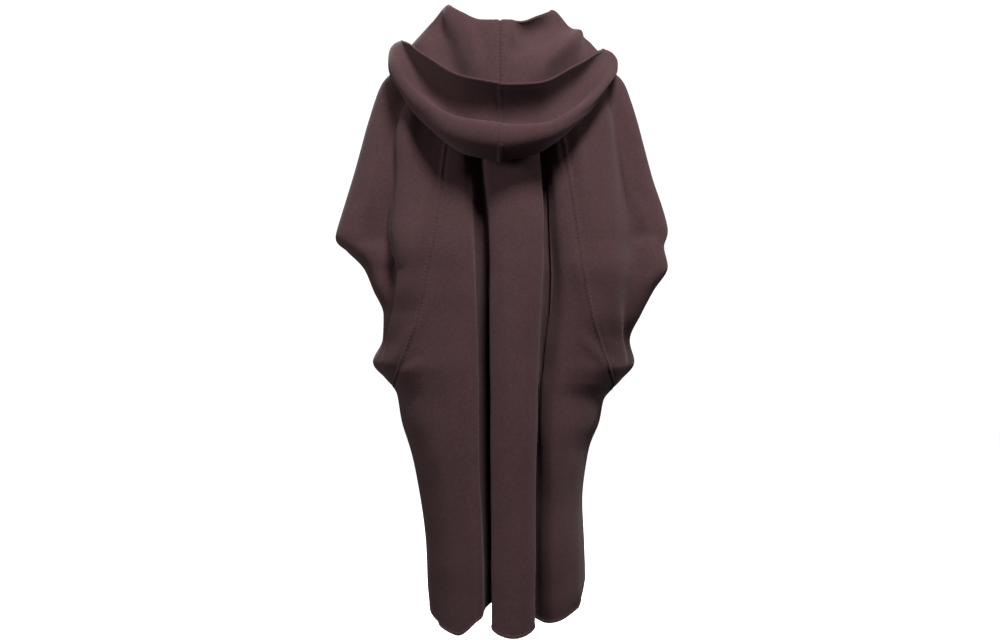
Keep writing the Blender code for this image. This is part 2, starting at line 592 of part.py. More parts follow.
def make_hood(right):
    q = []
    for k in range(len(HOOD_PLACES)):
        q.extend(k + m / HOOD_STEPS[k] for m in range(HOOD_STEPS[k]))
    q.append(float(len(HOOD_PLACES)))
    q = np.array(q)
    side = 1 if right else -1
    last = max(HOOD)
    columns = [90 * k / HOOD_COLUMNS for k in range(HOOD_COLUMNS)]
    columns += [90 + (last - 90) * k / HOOD_COLUMNS for k in range(HOOD_COLUMNS + 1)]
    points = []
    normals = []
    for column, azimuth in enumerate(columns):
        here = hood_point(right, azimuth, q)
        if column == 0:
            here = here + np.array([side * SEAM_GAP / 2, 0, 0])
        along = hood_point(right, azimuth, q + 0.03) - hood_point(right, azimuth, q - 0.03)
        step = 1.0
        ahead = hood_point(right, min(azimuth + step, last), q)
        behind = hood_point(right, max(azimuth - step, 0), q)
        round_neck = ahead - behind
        if column == 0:
            round_neck = np.array([1.0, 0, 0]) * side + np.zeros((len(q), 3))
        normal = np.cross(along, round_neck) * side
        normal = normal / np.linalg.norm(normal, axis=1)[:, None]
        normal[0] = neckline(right, azimuth)[1]
        points.extend(here)
        normals.extend(normal)
    name = "hood_right" if right else "hood_left"
    make_wall(name, points, normals, grid_faces(len(columns), len(q)), COLOUR)


def main():
    for thing in list(bpy.data.objects):
        bpy.data.objects.remove(thing, do_unlink=True)
    make_back()
    for right in (False, True):
        make_sleeve(right)
        make_front(right)
        make_hood(right)


main()
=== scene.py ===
"""The looks of a burnous: a long hooded cloak of heavy double-faced wool, seen from its back.

Metres, +Z up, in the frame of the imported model. Each sewn piece is a thin shell on the form
of its solid, made finer, with soft creases, sunk seams, turned edges and hand stitches.
"""

import functools
import math

import bmesh
import bpy
import numpy as np
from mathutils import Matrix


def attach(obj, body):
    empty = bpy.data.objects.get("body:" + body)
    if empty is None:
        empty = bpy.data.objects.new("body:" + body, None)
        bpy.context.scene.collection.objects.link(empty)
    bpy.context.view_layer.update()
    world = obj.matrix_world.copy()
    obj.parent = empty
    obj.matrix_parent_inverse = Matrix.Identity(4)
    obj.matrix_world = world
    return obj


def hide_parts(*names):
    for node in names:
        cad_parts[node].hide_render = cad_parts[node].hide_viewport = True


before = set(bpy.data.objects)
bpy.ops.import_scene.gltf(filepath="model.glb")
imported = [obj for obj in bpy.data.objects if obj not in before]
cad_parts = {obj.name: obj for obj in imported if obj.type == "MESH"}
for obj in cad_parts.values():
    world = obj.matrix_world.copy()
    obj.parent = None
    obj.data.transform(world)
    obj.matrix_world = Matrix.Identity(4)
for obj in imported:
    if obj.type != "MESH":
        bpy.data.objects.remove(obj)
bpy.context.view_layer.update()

# Driving sizes, as in the part's source. Pieces touch at their seams here, so that no light
# comes through.
WALL = 0.0024
FRONT_GAP_NECK = 0.006
FRONT_GAP_HEM = 0.022

# The cloak in level sections, from the neckline to the hem.
# Each has the heights of its left side, right side, centre back and centre front, the two
# sides' x, half the sleeve opening, the sides' y, the reach of the back and of the front
# from there, the power of the oval that joins them, and how fast it drops from side to
# centre.
SECTION_NAMES = ("z_left", "z_right", "z_back", "z_front", "x_left", "x_right",
                 "open", "y_side", "back", "front", "power", "drop")
SECTIONS = {
    "neck":          (0.022, 0.022, 0.012, -0.058, -0.084, 0.084, 0, 0.006, 0.074, 0.082, 2.0, 2),
    "neck_base":     (0.004, 0.004, -0.008, -0.078, -0.096, 0.096, 0, 0.006, 0.080, 0.090, 2.0, 2),
    "shoulder":      (-0.014, -0.014, -0.054, -0.108, -0.138, 0.140, 0, 0.005, 0.090, 0.098, 2.1, 2),
    "shoulder_tip":  (-0.034, -0.034, -0.106, -0.142, -0.196, 0.199, 0, 0.004, 0.100, 0.106, 2.1, 2),
    "shoulder_edge": (-0.064, -0.062, -0.150, -0.176, -0.232, 0.240, 0, 0.003, 0.110, 0.112, 2.2, 2),
    "upper_arm":     (-0.140, -0.140, -0.212, -0.222, -0.259, 0.268, 0, 0.002, 0.122, 0.118, 2.3, 2),
    "mid_arm":       (-0.250, -0.250, -0.290, -0.292, -0.289, 0.296, 0, 0.001, 0.134, 0.123, 2.3, 2),
    "elbow":         (-0.376, -0.362, -0.376, -0.376, -0.326, 0.329, 0, 0.000, 0.142, 0.126, 2.3, 2),
    "cuff_1":        (-0.404, -0.396, -0.408, -0.408, -0.301, 0.320, 0.024, 0, 0.144, 0.127, 2.3, 2),
    "cuff_2":        (-0.440, -0.436, -0.442, -0.442, -0.266, 0.327, 0.040, 0, 0.146, 0.128, 2.3, 2),
    "cuff_3":        (-0.484, -0.482, -0.484, -0.484, -0.247, 0.299, 0.050, 0, 0.147, 0.128, 2.3, 2),
    "cuff_4":        (-0.530, -0.530, -0.530, -0.530, -0.228, 0.275, 0.048, 0, 0.148, 0.128, 2.3, 2),
    "cuff_5":        (-0.578, -0.578, -0.578, -0.578, -0.231, 0.255, 0.032, 0, 0.149, 0.128, 2.3, 2),
    "underarm":      (-0.624, -0.624, -0.624, -0.624, -0.253, 0.267, 0, 0.000, 0.150, 0.128, 2.3, 2),
    "side_corner":   (-0.655, -0.660, -0.656, -0.656, -0.228, 0.240, 0, 0.000, 0.151, 0.128, 2.3, 2),
    "side_top":      (-0.686, -0.698, -0.690, -0.690, -0.204, 0.205, 0, 0.000, 0.152, 0.128, 2.3, 2),
    "hip":           (-0.740, -0.742, -0.742, -0.742, -0.195, 0.196, 0, 0.000, 0.153, 0.128, 2.3, 2),
    "thigh":         (-0.800, -0.800, -0.800, -0.800, -0.177, 0.174, 0, 0.000, 0.154, 0.128, 2.3, 2),
    "knee":          (-0.900, -0.900, -0.900, -0.900, -0.157, 0.163, 0, 0.000, 0.155, 0.129, 2.2, 2),
    "shin":          (-0.992, -0.988, -1.000, -0.995, -0.145, 0.167, 0, 0.000, 0.156, 0.130, 2.2, 1.6),
    "ankle":         (-1.066, -1.052, -1.085, -1.075, -0.142, 0.168, 0, 0.000, 0.157, 0.131, 2.1, 1.2),
    "hem":           (-1.112, -1.088, -1.145, -1.130, -0.138, 0.160, 0, 0.000, 0.158, 0.132, 2.1, 1.0),
}

# Lines that run down the cloth: crests, edges of folds and bottoms of folds, from left to
# right. Each has its x and how far it lies inside the plain section, at the fold levels,
# and how far the hem is lifted there. Where x is a number below 1 without a list, the line
# lies at that share of the way round from the side to the next listed line.
FOLD_LEVELS = (0.0, -0.16, -0.376, -0.50, -0.624, -0.80, -1.14)
HEM_LIFT_FROM = "thigh"
BACK_LINES = {
    "left_arm_crest":   (0.55, (0, -0.002, -0.006, -0.002, 0, 0, 0), 0),
    "left_arm_dip":     (0.87, (0, 0.017, 0.035, 0.008, 0.001, 0, 0), 0),
    "left_body_crest":  ((-0.060, -0.169, -0.183, -0.199, -0.225, -0.148, -0.115),
                         (0, -0.003, -0.009, -0.006, -0.002, 0, 0), -0.007),
    "left_body_flat":   ((-0.046, -0.120, -0.126, -0.130, -0.135, -0.106, -0.084),
                         (0, 0.002, 0.003, 0.003, 0.003, 0.002, 0.002), -0.010),
    "left_lobe_edge":   ((-0.032, -0.071, -0.060, -0.054, -0.050, -0.049, -0.045),
                         (0, 0.006, 0.010, 0.010, 0.010, 0.010, 0.010), 0.028),
    "left_deep_wall":   ((-0.027, -0.060, -0.051, -0.052, -0.054, -0.056, -0.052),
                         (0, 0.020, 0.034, 0.042, 0.046, 0.048, 0.050), 0.044),
    "left_deep_foot":   ((-0.021, -0.046, -0.032, -0.029, -0.028, -0.028, -0.028),
                         (0, 0.034, 0.060, 0.076, 0.088, 0.092, 0.096), 0.056),
    "centre_left_wall": ((-0.015, -0.034, -0.021, -0.018, -0.014, -0.011, -0.011),
                         (0, 0.024, 0.036, 0.044, 0.048, 0.050, 0.052), 0.036),
    "centre_left_edge": ((-0.010, -0.025, -0.016, -0.015, -0.015, -0.015, -0.017),
                         (0, 0.010, 0.013, 0.012, 0.012, 0.012, 0.012), 0.013),
    "centre_crest":     ((0.006, 0.015, 0.031, 0.030, 0.029, 0.027, 0.027),
                         (0, -0.002, -0.004, -0.005, -0.005, -0.006, -0.006), -0.001),
    "centre_edge":      ((0.024, 0.066, 0.077, 0.074, 0.071, 0.070, 0.069),
                         (0, 0.006, 0.010, 0.010, 0.011, 0.012, 0.012), 0.011),
    "centre_wall":      ((0.027, 0.072, 0.081, 0.079, 0.076, 0.074, 0.073),
                         (0, 0.024, 0.040, 0.044, 0.047, 0.050, 0.052), 0.037),
    "right_deep_foot":  ((0.033, 0.082, 0.097, 0.098, 0.095, 0.091, 0.090),
                         (0, 0.034, 0.060, 0.066, 0.070, 0.072, 0.075), 0.030),
    "right_deep_flat":  ((0.040, 0.096, 0.117, 0.120, 0.117, 0.110, 0.109),
                         (0, 0.031, 0.054, 0.060, 0.063, 0.065, 0.068), 0.012),
    "right_lobe_edge":  ((0.045, 0.108, 0.131, 0.136, 0.133, 0.123, 0.121),
                         (0, 0.011, 0.022, 0.025, 0.027, 0.028, 0.031), 0.004),
    "right_lobe_side":  ((0.053, 0.132, 0.155, 0.162, 0.162, 0.137, 0.134),
                         (0, 0.001, 0.004, 0.005, 0.006, 0.007, 0.009), 0.006),
    "right_body_crest": ((0.068, 0.196, 0.206, 0.218, 0.240, 0.154, 0.148),
                         (0, -0.004, -0.009, -0.007, -0.003, 0, 0), 0.004),
    "right_arm_dip":    (0.72, (0, 0.013, 0.026, 0.011, 0.003, 0, 0), 0),
    "right_arm_crest":  (0.42, (0, -0.004, -0.009, -0.005, 0, 0, 0), 0),
}
FRONT_LINES = {
    "left_arm_crest":   (0.50, (0, -0.002, -0.004, -0.002, 0, 0, 0), 0),
    "left_arm_dip":     (0.85, (0, 0.010, 0.022, 0.010, 0.004, 0, 0), 0),
    "left_body_crest":  ((-0.060, -0.158, -0.172, -0.184, -0.195, -0.138, -0.110),
                         (0, -0.002, -0.006, -0.005, -0.003, 0, 0), 0),
    "left_fold_foot":   ((-0.042, -0.112, -0.114, -0.114, -0.114, -0.100, -0.086),
                         (0, 0.006, 0.018, 0.024, 0.030, 0.034, 0.038), 0.014),
    "left_front_crest": ((-0.028, -0.062, -0.064, -0.064, -0.064, -0.062, -0.056),
                         (0, 0, -0.003, -0.004, -0.004, -0.006, -0.008), 0),
    "left_front_edge":  ((-0.010, -0.022, -0.022, -0.022, -0.022, -0.022, -0.022),
                         (0, 0.002, 0.004, 0.005, 0.006, 0.008, 0.010), 0.003),
    "right_front_edge": ((0.010, 0.022, 0.022, 0.022, 0.022, 0.022, 0.022),
                         (0, 0.002, 0.003, 0.004, 0.004, 0.006, 0.008), 0.003),
    "right_front_crest": ((0.028, 0.066, 0.068, 0.067, 0.066, 0.064, 0.060),
                          (0, 0, -0.003, -0.004, -0.004, -0.006, -0.008), 0),
    "right_fold_foot":  ((0.042, 0.116, 0.120, 0.121, 0.122, 0.106, 0.098),
                         (0, 0.006, 0.020, 0.026, 0.032, 0.036, 0.040), 0.016),
    "right_body_crest": ((0.060, 0.162, 0.182, 0.194, 0.205, 0.140, 0.130),
                         (0, -0.002, -0.006, -0.005, -0.003, 0, 0), 0),
    "right_arm_dip":    (0.85, (0, 0.010, 0.022, 0.010, 0.004, 0, 0), 0),
    "right_arm_crest":  (0.50, (0, -0.002, -0.004, -0.002, 0, 0, 0), 0),
}

# The raglan seams: their x at each height of the section's middle.
RAGLAN_LEVELS = (0.012, -0.10, -0.24, -0.345, -0.44, -0.53, -0.60, -0.63, -0.66, -0.70)
BACK_RAGLAN_LEFT = (-0.048, -0.080, -0.110, -0.121, -0.140, -0.158, -0.182, -0.196, -0.206, -0.23)
BACK_RAGLAN_RIGHT = (0.053, 0.102, 0.131, 0.148, 0.162, 0.178, 0.199, 0.210, 0.221, 0.23)
FRONT_RAGLAN_LEFT = (-0.048, -0.078, -0.106, -0.118, -0.134, -0.154, -0.178, -0.192, -0.204, -0.23)
FRONT_RAGLAN_RIGHT = (0.048, 0.080, 0.110, 0.122, 0.138, 0.160, 0.186, 0.200, 0.212, 0.23)

# The hood lies open round the neck. Each row is one azimuth in degrees from the centre
# back, with the reach out from the neckline and the height of nine places on its way from
# the neck seam to the face edge.
HOOD_PLACES = ("top", "inside", "inside_low", "bottom", "roll", "crease", "dip", "band", "face_edge")
HOOD = {
    0:   ((0.018, 0.043), (0.036, -0.030), (0.052, -0.130), (0.078, -0.238), (0.120, -0.216),
          (0.125, -0.170), (0.094, -0.182), (0.093, -0.135), (0.110, -0.090)),
    22:  ((0.019, 0.046), (0.038, -0.024), (0.056, -0.118), (0.084, -0.222), (0.125, -0.200),
          (0.130, -0.158), (0.100, -0.169), (0.098, -0.120), (0.114, -0.074)),
    45:  ((0.021, 0.064), (0.046, 0.002), (0.076, -0.084), (0.106, -0.166), (0.134, -0.150),
          (0.138, -0.106), (0.112, -0.113), (0.106, -0.070), (0.115, -0.030)),
    65:  ((0.022, 0.080), (0.054, 0.036), (0.098, -0.034), (0.128, -0.084), (0.143, -0.072),
          (0.143, -0.040), (0.130, -0.033), (0.118, -0.016), (0.113, 0.002)),
    76:  ((0.020, 0.086), (0.053, 0.048), (0.092, 0.000), (0.118, -0.036), (0.137, -0.044),
          (0.140, -0.018), (0.131, -0.006), (0.120, 0.004), (0.112, 0.011)),
    88:  ((0.019, 0.088), (0.050, 0.055), (0.079, 0.020), (0.104, -0.006), (0.127, -0.020),
          (0.134, -0.002), (0.128, 0.010), (0.118, 0.016), (0.109, 0.018)),
    112: ((0.013, 0.074), (0.033, 0.046), (0.054, 0.012), (0.077, -0.016), (0.103, -0.030),
          (0.111, -0.012), (0.107, 0.004), (0.099, 0.012), (0.090, 0.014)),
    135: ((0.008, 0.036), (0.021, 0.016), (0.035, -0.012), (0.051, -0.034), (0.069, -0.046),
          (0.076, -0.032), (0.074, -0.018), (0.068, -0.010), (0.060, -0.008)),
    158: ((0.006, -0.014), (0.013, -0.022), (0.021, -0.038), (0.031, -0.052), (0.041, -0.060),
          (0.046, -0.050), (0.045, -0.040), (0.041, -0.034), (0.035, -0.032)),
    174: ((0.005, -0.040), (0.009, -0.040), (0.013, -0.044), (0.018, -0.048), (0.022, -0.050),
          (0.025, -0.046), (0.025, -0.040), (0.023, -0.036), (0.019, -0.034)),
}
HOOD_EDGE_PLACES = ("crease", "dip", "band", "face_edge")
HOOD_PEAK_PLACES = ("top", "inside")
# Metres of cloth, about, for a degree round the hood and for the way between two places
HOOD_DEGREE = 0.0023
HOOD_PLACE = 0.045
HOOD_SCALE = (HOOD_DEGREE, HOOD_PLACE)
# The right half's edge and peak lie lower and it reaches further out. Each of these has an
# azimuth where it fades out, and a power that says how fast.
HOOD_RIGHT_LOWER = (0.020, 125, 0.7)
HOOD_RIGHT_PEAK_LOWER = (0.010, 175, 2)
HOOD_RIGHT_WIDER = (0.09, 165, 2)

# How fine the shells are. The rows between one section and the next, the columns between
# one fold line and the next, and the distances from a seam or edge of the closest lines.
ROWS_BETWEEN = (4, 9, 9, 8, 11, 15, 17, 6, 6, 7, 8, 8, 8, 7, 7, 7, 8, 12, 12, 10, 8)
NEAR_STEPS = (0.0, 0.0003, 0.0008, 0.0016, 0.0030, 0.0045, 0.0065, 0.0090)
BACK_SIDE_COLUMNS = 36
BACK_FOLD_COLUMNS = 8
SLEEVE_COLUMNS = 42
FRONT_COLUMNS = 44
HOOD_AZIMUTHS = 84
HOOD_ROWS = 92

# How finely curves are sampled, and the steps to each side from which directions are taken:
# in fold lines or sections, in radians at the neckline, in hood places, in radians on the
# cloak's sections and in degrees of azimuth
SEAM_SAMPLES = 160
SPACING_SAMPLES = 200
CREASE_SAMPLES = 17
STEP = 0.02
SMALL_STEP = 0.01
PLACE_STEP = 0.03
ANGLE_STEP = 1e-3
AZIMUTH_STEP = 1.0
NEARLY = 1e-6
# A distance that means no seam or edge is near
FAR = 1.0
# One face in this many shows which way a skin turns
FACE_SAMPLE = 37

# Limits of the cloak's lines: how close to the side one may lie, as a share of the half
# width, how far the raglan seam stays from the side for each section above the side seam,
# how much the open cuff draws in the front, and how many sections above the top of the side
# seam the sleeve's last row lies
SIDE_SHARE = 0.97
SEAM_ROOM = 0.25
CUFF_DRAW = 0.3
SLEEVE_END = 0.03

# Seams are sunk between two low swells, and free edges are turned in and stitched down. The
# creases fade out towards the garment's sides, and the hood's face edge has a lip.
SEAM_SINK = 0.0014
SEAM_SINK_WIDTH = 0.0024
SEAM_SWELL = 0.0006
SEAM_SWELL_PLACE = 0.0068
SEAM_SWELL_WIDTH = 0.0028
SEAM_ROUND = 0.0009
SEAM_LEAST = 0.45
EDGE_ROUND = 0.0016
EDGE_LEAST = 0.30
SIDE_FADE = 0.030
LIP = 0.0060
LIP_WIDTH = 0.0060
EDGE_SWELL = 0.80
EDGE_SWELL_PLACE = 0.0030
EDGE_SWELL_WIDTH = 0.0026
EDGE_SINK = 0.40
EDGE_SINK_PLACE = 0.0070
EDGE_SINK_WIDTH = 0.0014
STITCH_STEP = 0.0075
STITCH_LENGTH = 0.0030
STITCH_RADIUS = 0.00042
STITCH_SIDES = 6
# Rings of a stitch: the place along it, the size and the rise, in its length and radius
STITCH_RINGS = (
    (-0.5, 0.35, -0.9), (-0.28, 0.9, 0.0), (0.0, 1.0, 0.25), (0.28, 0.9, 0.0), (0.5, 0.35, -0.9),
)
# How uneven the stitches' lengths are: size, pace and phase
STITCH_WAVES = ((0.14, 2.4, 0.0), (0.08, 5.3, 1.0))
STITCH_AHEAD = 0.001
SEAM_STITCH_PLACE = 0.0034
HOOD_STITCH_PLACE = 0.0050

# Soft creases, each a trough where the depth is below zero and a ridge above it.
# The columns are x and z at its start, at its middle and at its end, its width and its depth.
BACK_CREASES = {
    "left_shoulder_pull":  (-0.150, -0.070, -0.178, -0.150, -0.196, -0.250, 0.012, -0.0035),
    "left_arm_fold":       (-0.226, -0.120, -0.246, -0.220, -0.282, -0.330, 0.014, 0.0040),
    "left_arm_trough":     (-0.172, -0.110, -0.199, -0.250, -0.208, -0.440, 0.020, -0.0260),
    "left_arm_hollow":     (-0.250, -0.220, -0.262, -0.300, -0.276, -0.385, 0.012, -0.0030),
    "left_body_drag":      (-0.128, -0.230, -0.150, -0.360, -0.186, -0.520, 0.015, -0.0030),
    "left_corner_fan":     (-0.120, -0.480, -0.165, -0.560, -0.222, -0.632, 0.013, -0.0030),
    "left_corner_ridge":   (-0.150, -0.600, -0.185, -0.625, -0.226, -0.645, 0.010, 0.0030),
    "left_hip_hollow":     (-0.120, -0.760, -0.106, -0.880, -0.100, -1.040, 0.014, -0.0025),
    "left_lobe_soft":      (-0.082, -0.620, -0.076, -0.800, -0.072, -1.080, 0.015, 0.0030),
    "centre_soft_1":       (0.008, -0.300, 0.006, -0.600, 0.004, -1.060, 0.009, -0.0020),
    "centre_soft_2":       (0.046, -0.240, 0.048, -0.560, 0.050, -0.960, 0.010, -0.0016),
    "right_valley":        (0.100, -0.100, 0.108, -0.440, 0.099, -1.380, 0.022, -0.0280),
    "left_valley":         (-0.036, -0.200, -0.034, -0.600, -0.034, -1.200, 0.012, -0.0100),
    "right_shoulder_pull": (0.128, -0.100, 0.150, -0.190, 0.162, -0.300, 0.012, -0.0028),
    "right_body_drag":     (0.128, -0.330, 0.154, -0.450, 0.196, -0.590, 0.014, -0.0032),
    "right_arm_fold":      (0.222, -0.100, 0.250, -0.200, 0.284, -0.330, 0.014, 0.0035),
    "right_arm_trough":    (0.224, -0.110, 0.248, -0.270, 0.254, -0.440, 0.026, -0.0110),
    "right_arm_hollow":    (0.270, -0.300, 0.286, -0.360, 0.306, -0.430, 0.012, -0.0030),
    "right_corner_fan":    (0.150, -0.560, 0.190, -0.610, 0.236, -0.640, 0.011, -0.0028),
    "right_hip_hollow":    (0.148, -0.800, 0.142, -0.900, 0.140, -1.020, 0.012, -0.0022),
}
FRONT_CREASES = {
    "left_shoulder_pull":  (-0.110, -0.130, -0.136, -0.230, -0.150, -0.330, 0.012, -0.0028),
    "left_arm_fold":       (-0.230, -0.150, -0.250, -0.260, -0.285, -0.350, 0.014, 0.0032),
    "left_body_drag":      (-0.120, -0.340, -0.146, -0.450, -0.190, -0.570, 0.014, -0.0030),
    "left_front_soft":     (-0.050, -0.300, -0.048, -0.600, -0.046, -1.000, 0.012, -0.0020),
    "left_corner_fan":     (-0.130, -0.540, -0.168, -0.600, -0.214, -0.640, 0.012, -0.0026),
    "right_shoulder_pull": (0.104, -0.150, 0.130, -0.260, 0.148, -0.360, 0.012, -0.0026),
    "right_arm_fold":      (0.238, -0.160, 0.258, -0.260, 0.290, -0.340, 0.013, 0.0032),
    "right_body_drag":     (0.124, -0.300, 0.152, -0.430, 0.200, -0.580, 0.015, -0.0030),
    "right_front_soft":    (0.054, -0.420, 0.052, -0.700, 0.050, -1.060, 0.013, -0.0022),
    "right_corner_fan":    (0.140, -0.560, 0.180, -0.612, 0.226, -0.645, 0.011, -0.0026),
}
# On the hood: the azimuth, left of the centre below zero, and the place on the way from the
# neck seam at 0 to the face edge at 9, at its start, at its middle and at its end, its width
# and its depth. Above zero is towards someone who stands behind the cloak.
HOOD_CREASES = {
    "nape_right_fold":   (90, 2.5, 51, 2.3, 26, 2.6, 0.011, 0.0160),
    "nape_right_hollow": (72, 1.55, 40, 1.55, 14, 1.45, 0.018, -0.0280),
    "nape_right_shade":  (84, 3.0, 60, 2.85, 36, 2.85, 0.013, -0.0180),
    "nape_left_hollow":  (-80, 1.8, -52, 2.2, -28, 2.7, 0.018, -0.0240),
    "nape_left_fold":    (-76, 1.2, -62, 1.5, -56, 2.0, 0.012, 0.0040),
    "nape_left_ridge":   (-36, 1.4, -24, 1.9, -16, 2.5, 0.012, 0.0045),
    "nape_dent":         (8, 1.75, 17, 1.85, 26, 1.9, 0.008, -0.0050),
    "band_hollow":       (-76, 7.8, 0, 7.75, 76, 7.8, 0.032, -0.0120),
    "edge_lip":          (-84, 8.9, 0, 8.9, 84, 8.9, 0.016, 0.0050),
    "roll_round":        (-86, 5.3, 0, 5.25, 86, 5.3, 0.024, 0.0060),
    "roll_left_dent":    (-64, 4.8, -46, 5.2, -30, 5.3, 0.011, -0.0030),
    "roll_right_dent":   (70, 4.9, 52, 5.2, 34, 5.4, 0.010, -0.0028),
}
CREASE_END_POWER = 0.6
# Long low waves all over: height in metres, radians per metre along x, y and z, and phase.
WAVES = {
    "wide":   (0.00050, 26, 18, 9, 0.7),
    "cross":  (0.00040, -34, 22, 15, 2.1),
    "short":  (0.00028, 61, -30, 27, 4.0),
    "ripple": (0.00018, 88, 54, -49, 1.3),
}

# Colours of the wool and of its thread
WOOL_DARK = (0.036, 0.0160, 0.0175, 1.0)
WOOL_LIGHT = (0.074, 0.0355, 0.0390, 1.0)
THREAD = (0.070, 0.040, 0.042, 1.0)
SHEEN_TINT = (1.0, 0.86, 0.86, 1.0)
# The wool's grain, from fine to broad: the noise's scale, detail and roughness, its share of
# the colour and its height in the nap
GRAIN = {
    "fibre": (2400, 4, 0.65, 0.46, 0.00030),
    "lint":  (620, 3, 0.60, 0.26, 0.00045),
    "felt":  (150, 3, 0.55, 0.16, 0.00040),
    "broad": (9, 2, 0.50, 0.12, 0),
}
BRUSHED = (1.0, 1.0, 0.30)
MOTTLE_RANGE = (0.34, 0.66)
LINT_RANGE = (0.3, 0.7)
ROUGHNESS_RANGE = (0.84, 0.98)
DIMPLE_DEPTH = 0.0007
DIMPLE_WIDTH = 0.0022
DIMPLE_SHARE = 0.42
TWIST_SCALE = 1800
TWIST_HEIGHT = 0.0002
SMOOTH = {"interpolation_type": "SMOOTHSTEP"}

# The photograph: the camera looks level at the cloak's back.
CAMERA_DISTANCE = 3.2
CAMERA_HEIGHT = -0.54
VIEW_WIDTH = 2.0
SENSOR = 36.0
FLOOR_HEIGHT = -1.34
FLOOR_RADIUS = 9.0
FLOOR_CORNERS = 96
FLOOR_COLOUR = (0.93, 0.93, 0.93)
FLOOR_GLOW = 0.97
ROOM_RADIUS = 16.0
ROOM_COLOUR = (1.0, 1.0, 1.0)
ROOM_GLOW = 1.0
CLIP_END = 100
AMBIENT = 0.06

# The lamps: place, target, width in metres and power in watts.
LIGHTS = {
    "key":    ((0.60, -1.85, 2.35), (0.0, -0.1, -0.35), 0.9, 168),
    "right":  ((2.60, -1.30, 0.90), (0.0, -0.1, -0.1), 1.0, 28),
    "left":   ((-2.50, -1.40, 0.20), (0.0, -0.1, -0.6), 1.0, 36),
    "behind": ((-0.90, 2.60, 1.70), (0.0, 0.0, -0.45), 1.4, 110),
}


@functools.lru_cache(maxsize=None)
def curve_parts(xs, ys):
    """A cubic's points, steps and slopes, with slopes that don't overshoot the points."""
    step = np.diff(xs)
    rise = np.diff(ys) / step
    slope = np.zeros(len(xs))
    slope[0] = rise[0]
    slope[-1] = rise[-1]
    for i in range(1, len(xs) - 1):
        if rise[i - 1] * rise[i] > 0:
            before = 2 * step[i] + step[i - 1]
            after = step[i] + 2 * step[i - 1]
            slope[i] = (before + after) / (before / rise[i - 1] + after / rise[i])
    return np.array(xs, float), np.array(ys, float), step, slope


def gentle(xs, ys, x):
    """A cubic through the points that doesn't overshoot them. xs rises."""
    xs, ys, step, slope = curve_parts(tuple(xs), tuple(ys))
    x = np.clip(x, xs[0], xs[-1])
    i = np.clip(np.searchsorted(xs, x, side="right") - 1, 0, len(xs) - 2)
    u = (x - xs[i]) / step[i]
    keep = (1 + 2 * u) * (1 - u) ** 2 * ys[i] + u * (1 - u) ** 2 * step[i] * slope[i]
    return keep + u * u * (3 - 2 * u) * ys[i + 1] + u * u * (u - 1) * step[i] * slope[i + 1]


def through(points, q):
    """A smooth curve through the points. q counts points, with fractions between them."""
    points = np.asarray(points, float)
    q = np.clip(np.asarray(q, float), 0, len(points) - 1)
    first = 2 * points[0] - points[1]
    last = 2 * points[-1] - points[-2]
    padded = np.vstack([first, points, last])
    knots = np.concatenate([[0], np.cumsum(np.linalg.norm(np.diff(padded, axis=0), axis=1) ** 0.5)])
    i = np.clip(q.astype(int), 0, len(points) - 2)
    t = [knots[i + k][:, None] for k in range(4)]
    p = [padded[i + k] for k in range(4)]
    u = t[1] + (q - i)[:, None] * (t[2] - t[1])
    a = [((t[k + 1] - u) * p[k] + (u - t[k]) * p[k + 1]) / (t[k + 1] - t[k]) for k in range(3)]
    b = [((t[k + 2] - u) * a[k] + (u - t[k]) * a[k + 1]) / (t[k + 2] - t[k]) for k in range(2)]
    return ((t[2] - u) * b[0] + (u - t[1]) * b[1]) / (t[2] - t[1])


SECTION_ROWS = list(SECTIONS)
SECTION_COLUMNS = list(zip(*SECTIONS.values()))
ELBOW = SECTION_ROWS.index("elbow")
UNDERARM = SECTION_ROWS.index("underarm")
SIDE_TOP = SECTION_ROWS.index("side_top")
HEM = SECTION_ROWS.index("hem")
HEM_LIFT_START = SECTION_ROWS.index(HEM_LIFT_FROM)
BACK_ORDER = list(BACK_LINES)
BACK_LAST = len(BACK_LINES) + 1
FRONT_LAST = len(FRONT_LINES) + 1
LEFT_LOBE = BACK_ORDER.index("left_lobe_edge") + 1
RIGHT_LOBE = BACK_ORDER.index("right_lobe_edge") + 1
FRONT_MIDDLE = FRONT_LAST / 2


@functools.lru_cache(maxsize=None)
def section(t):
    """The sizes of the section at t, which counts the rows of SECTIONS."""
    values = [float(gentle(range(len(SECTION_ROWS)), column, t)) for column in SECTION_COLUMNS]
    return dict(zip(SECTION_NAMES, values))


def level_value(values, z):
    return float(gentle([-level for level in FOLD_LEVELS], values, -z))


def oval(part, row, angle):
    """A place on the plain section. The angle runs from the left side, 0, to the right, pi."""
    middle = (row["x_left"] + row["x_right"]) / 2
    half = (row["x_right"] - row["x_left"]) / 2
    sign = -1 if part == "back" else 1
    reach = row[part] - row["open"]
    if part == "front":
        half = half - CUFF_DRAW * row["open"]
    side = np.cos(angle)
    deep = np.abs(np.sin(angle))
    x = middle - half * np.sign(side) * np.abs(side) ** (2 / row["power"])
    y = row["y_side"] + sign * (row["open"] + reach * deep ** (2 / row["power"]))
    share = (1 - side) / 2
    z_side = row["z_left"] * (1 - share) + row["z_right"] * share
    weight = deep ** row["drop"]
    z = z_side * (1 - weight) + row["z_" + part] * weight
    return np.stack([x, y, z], axis=-1)


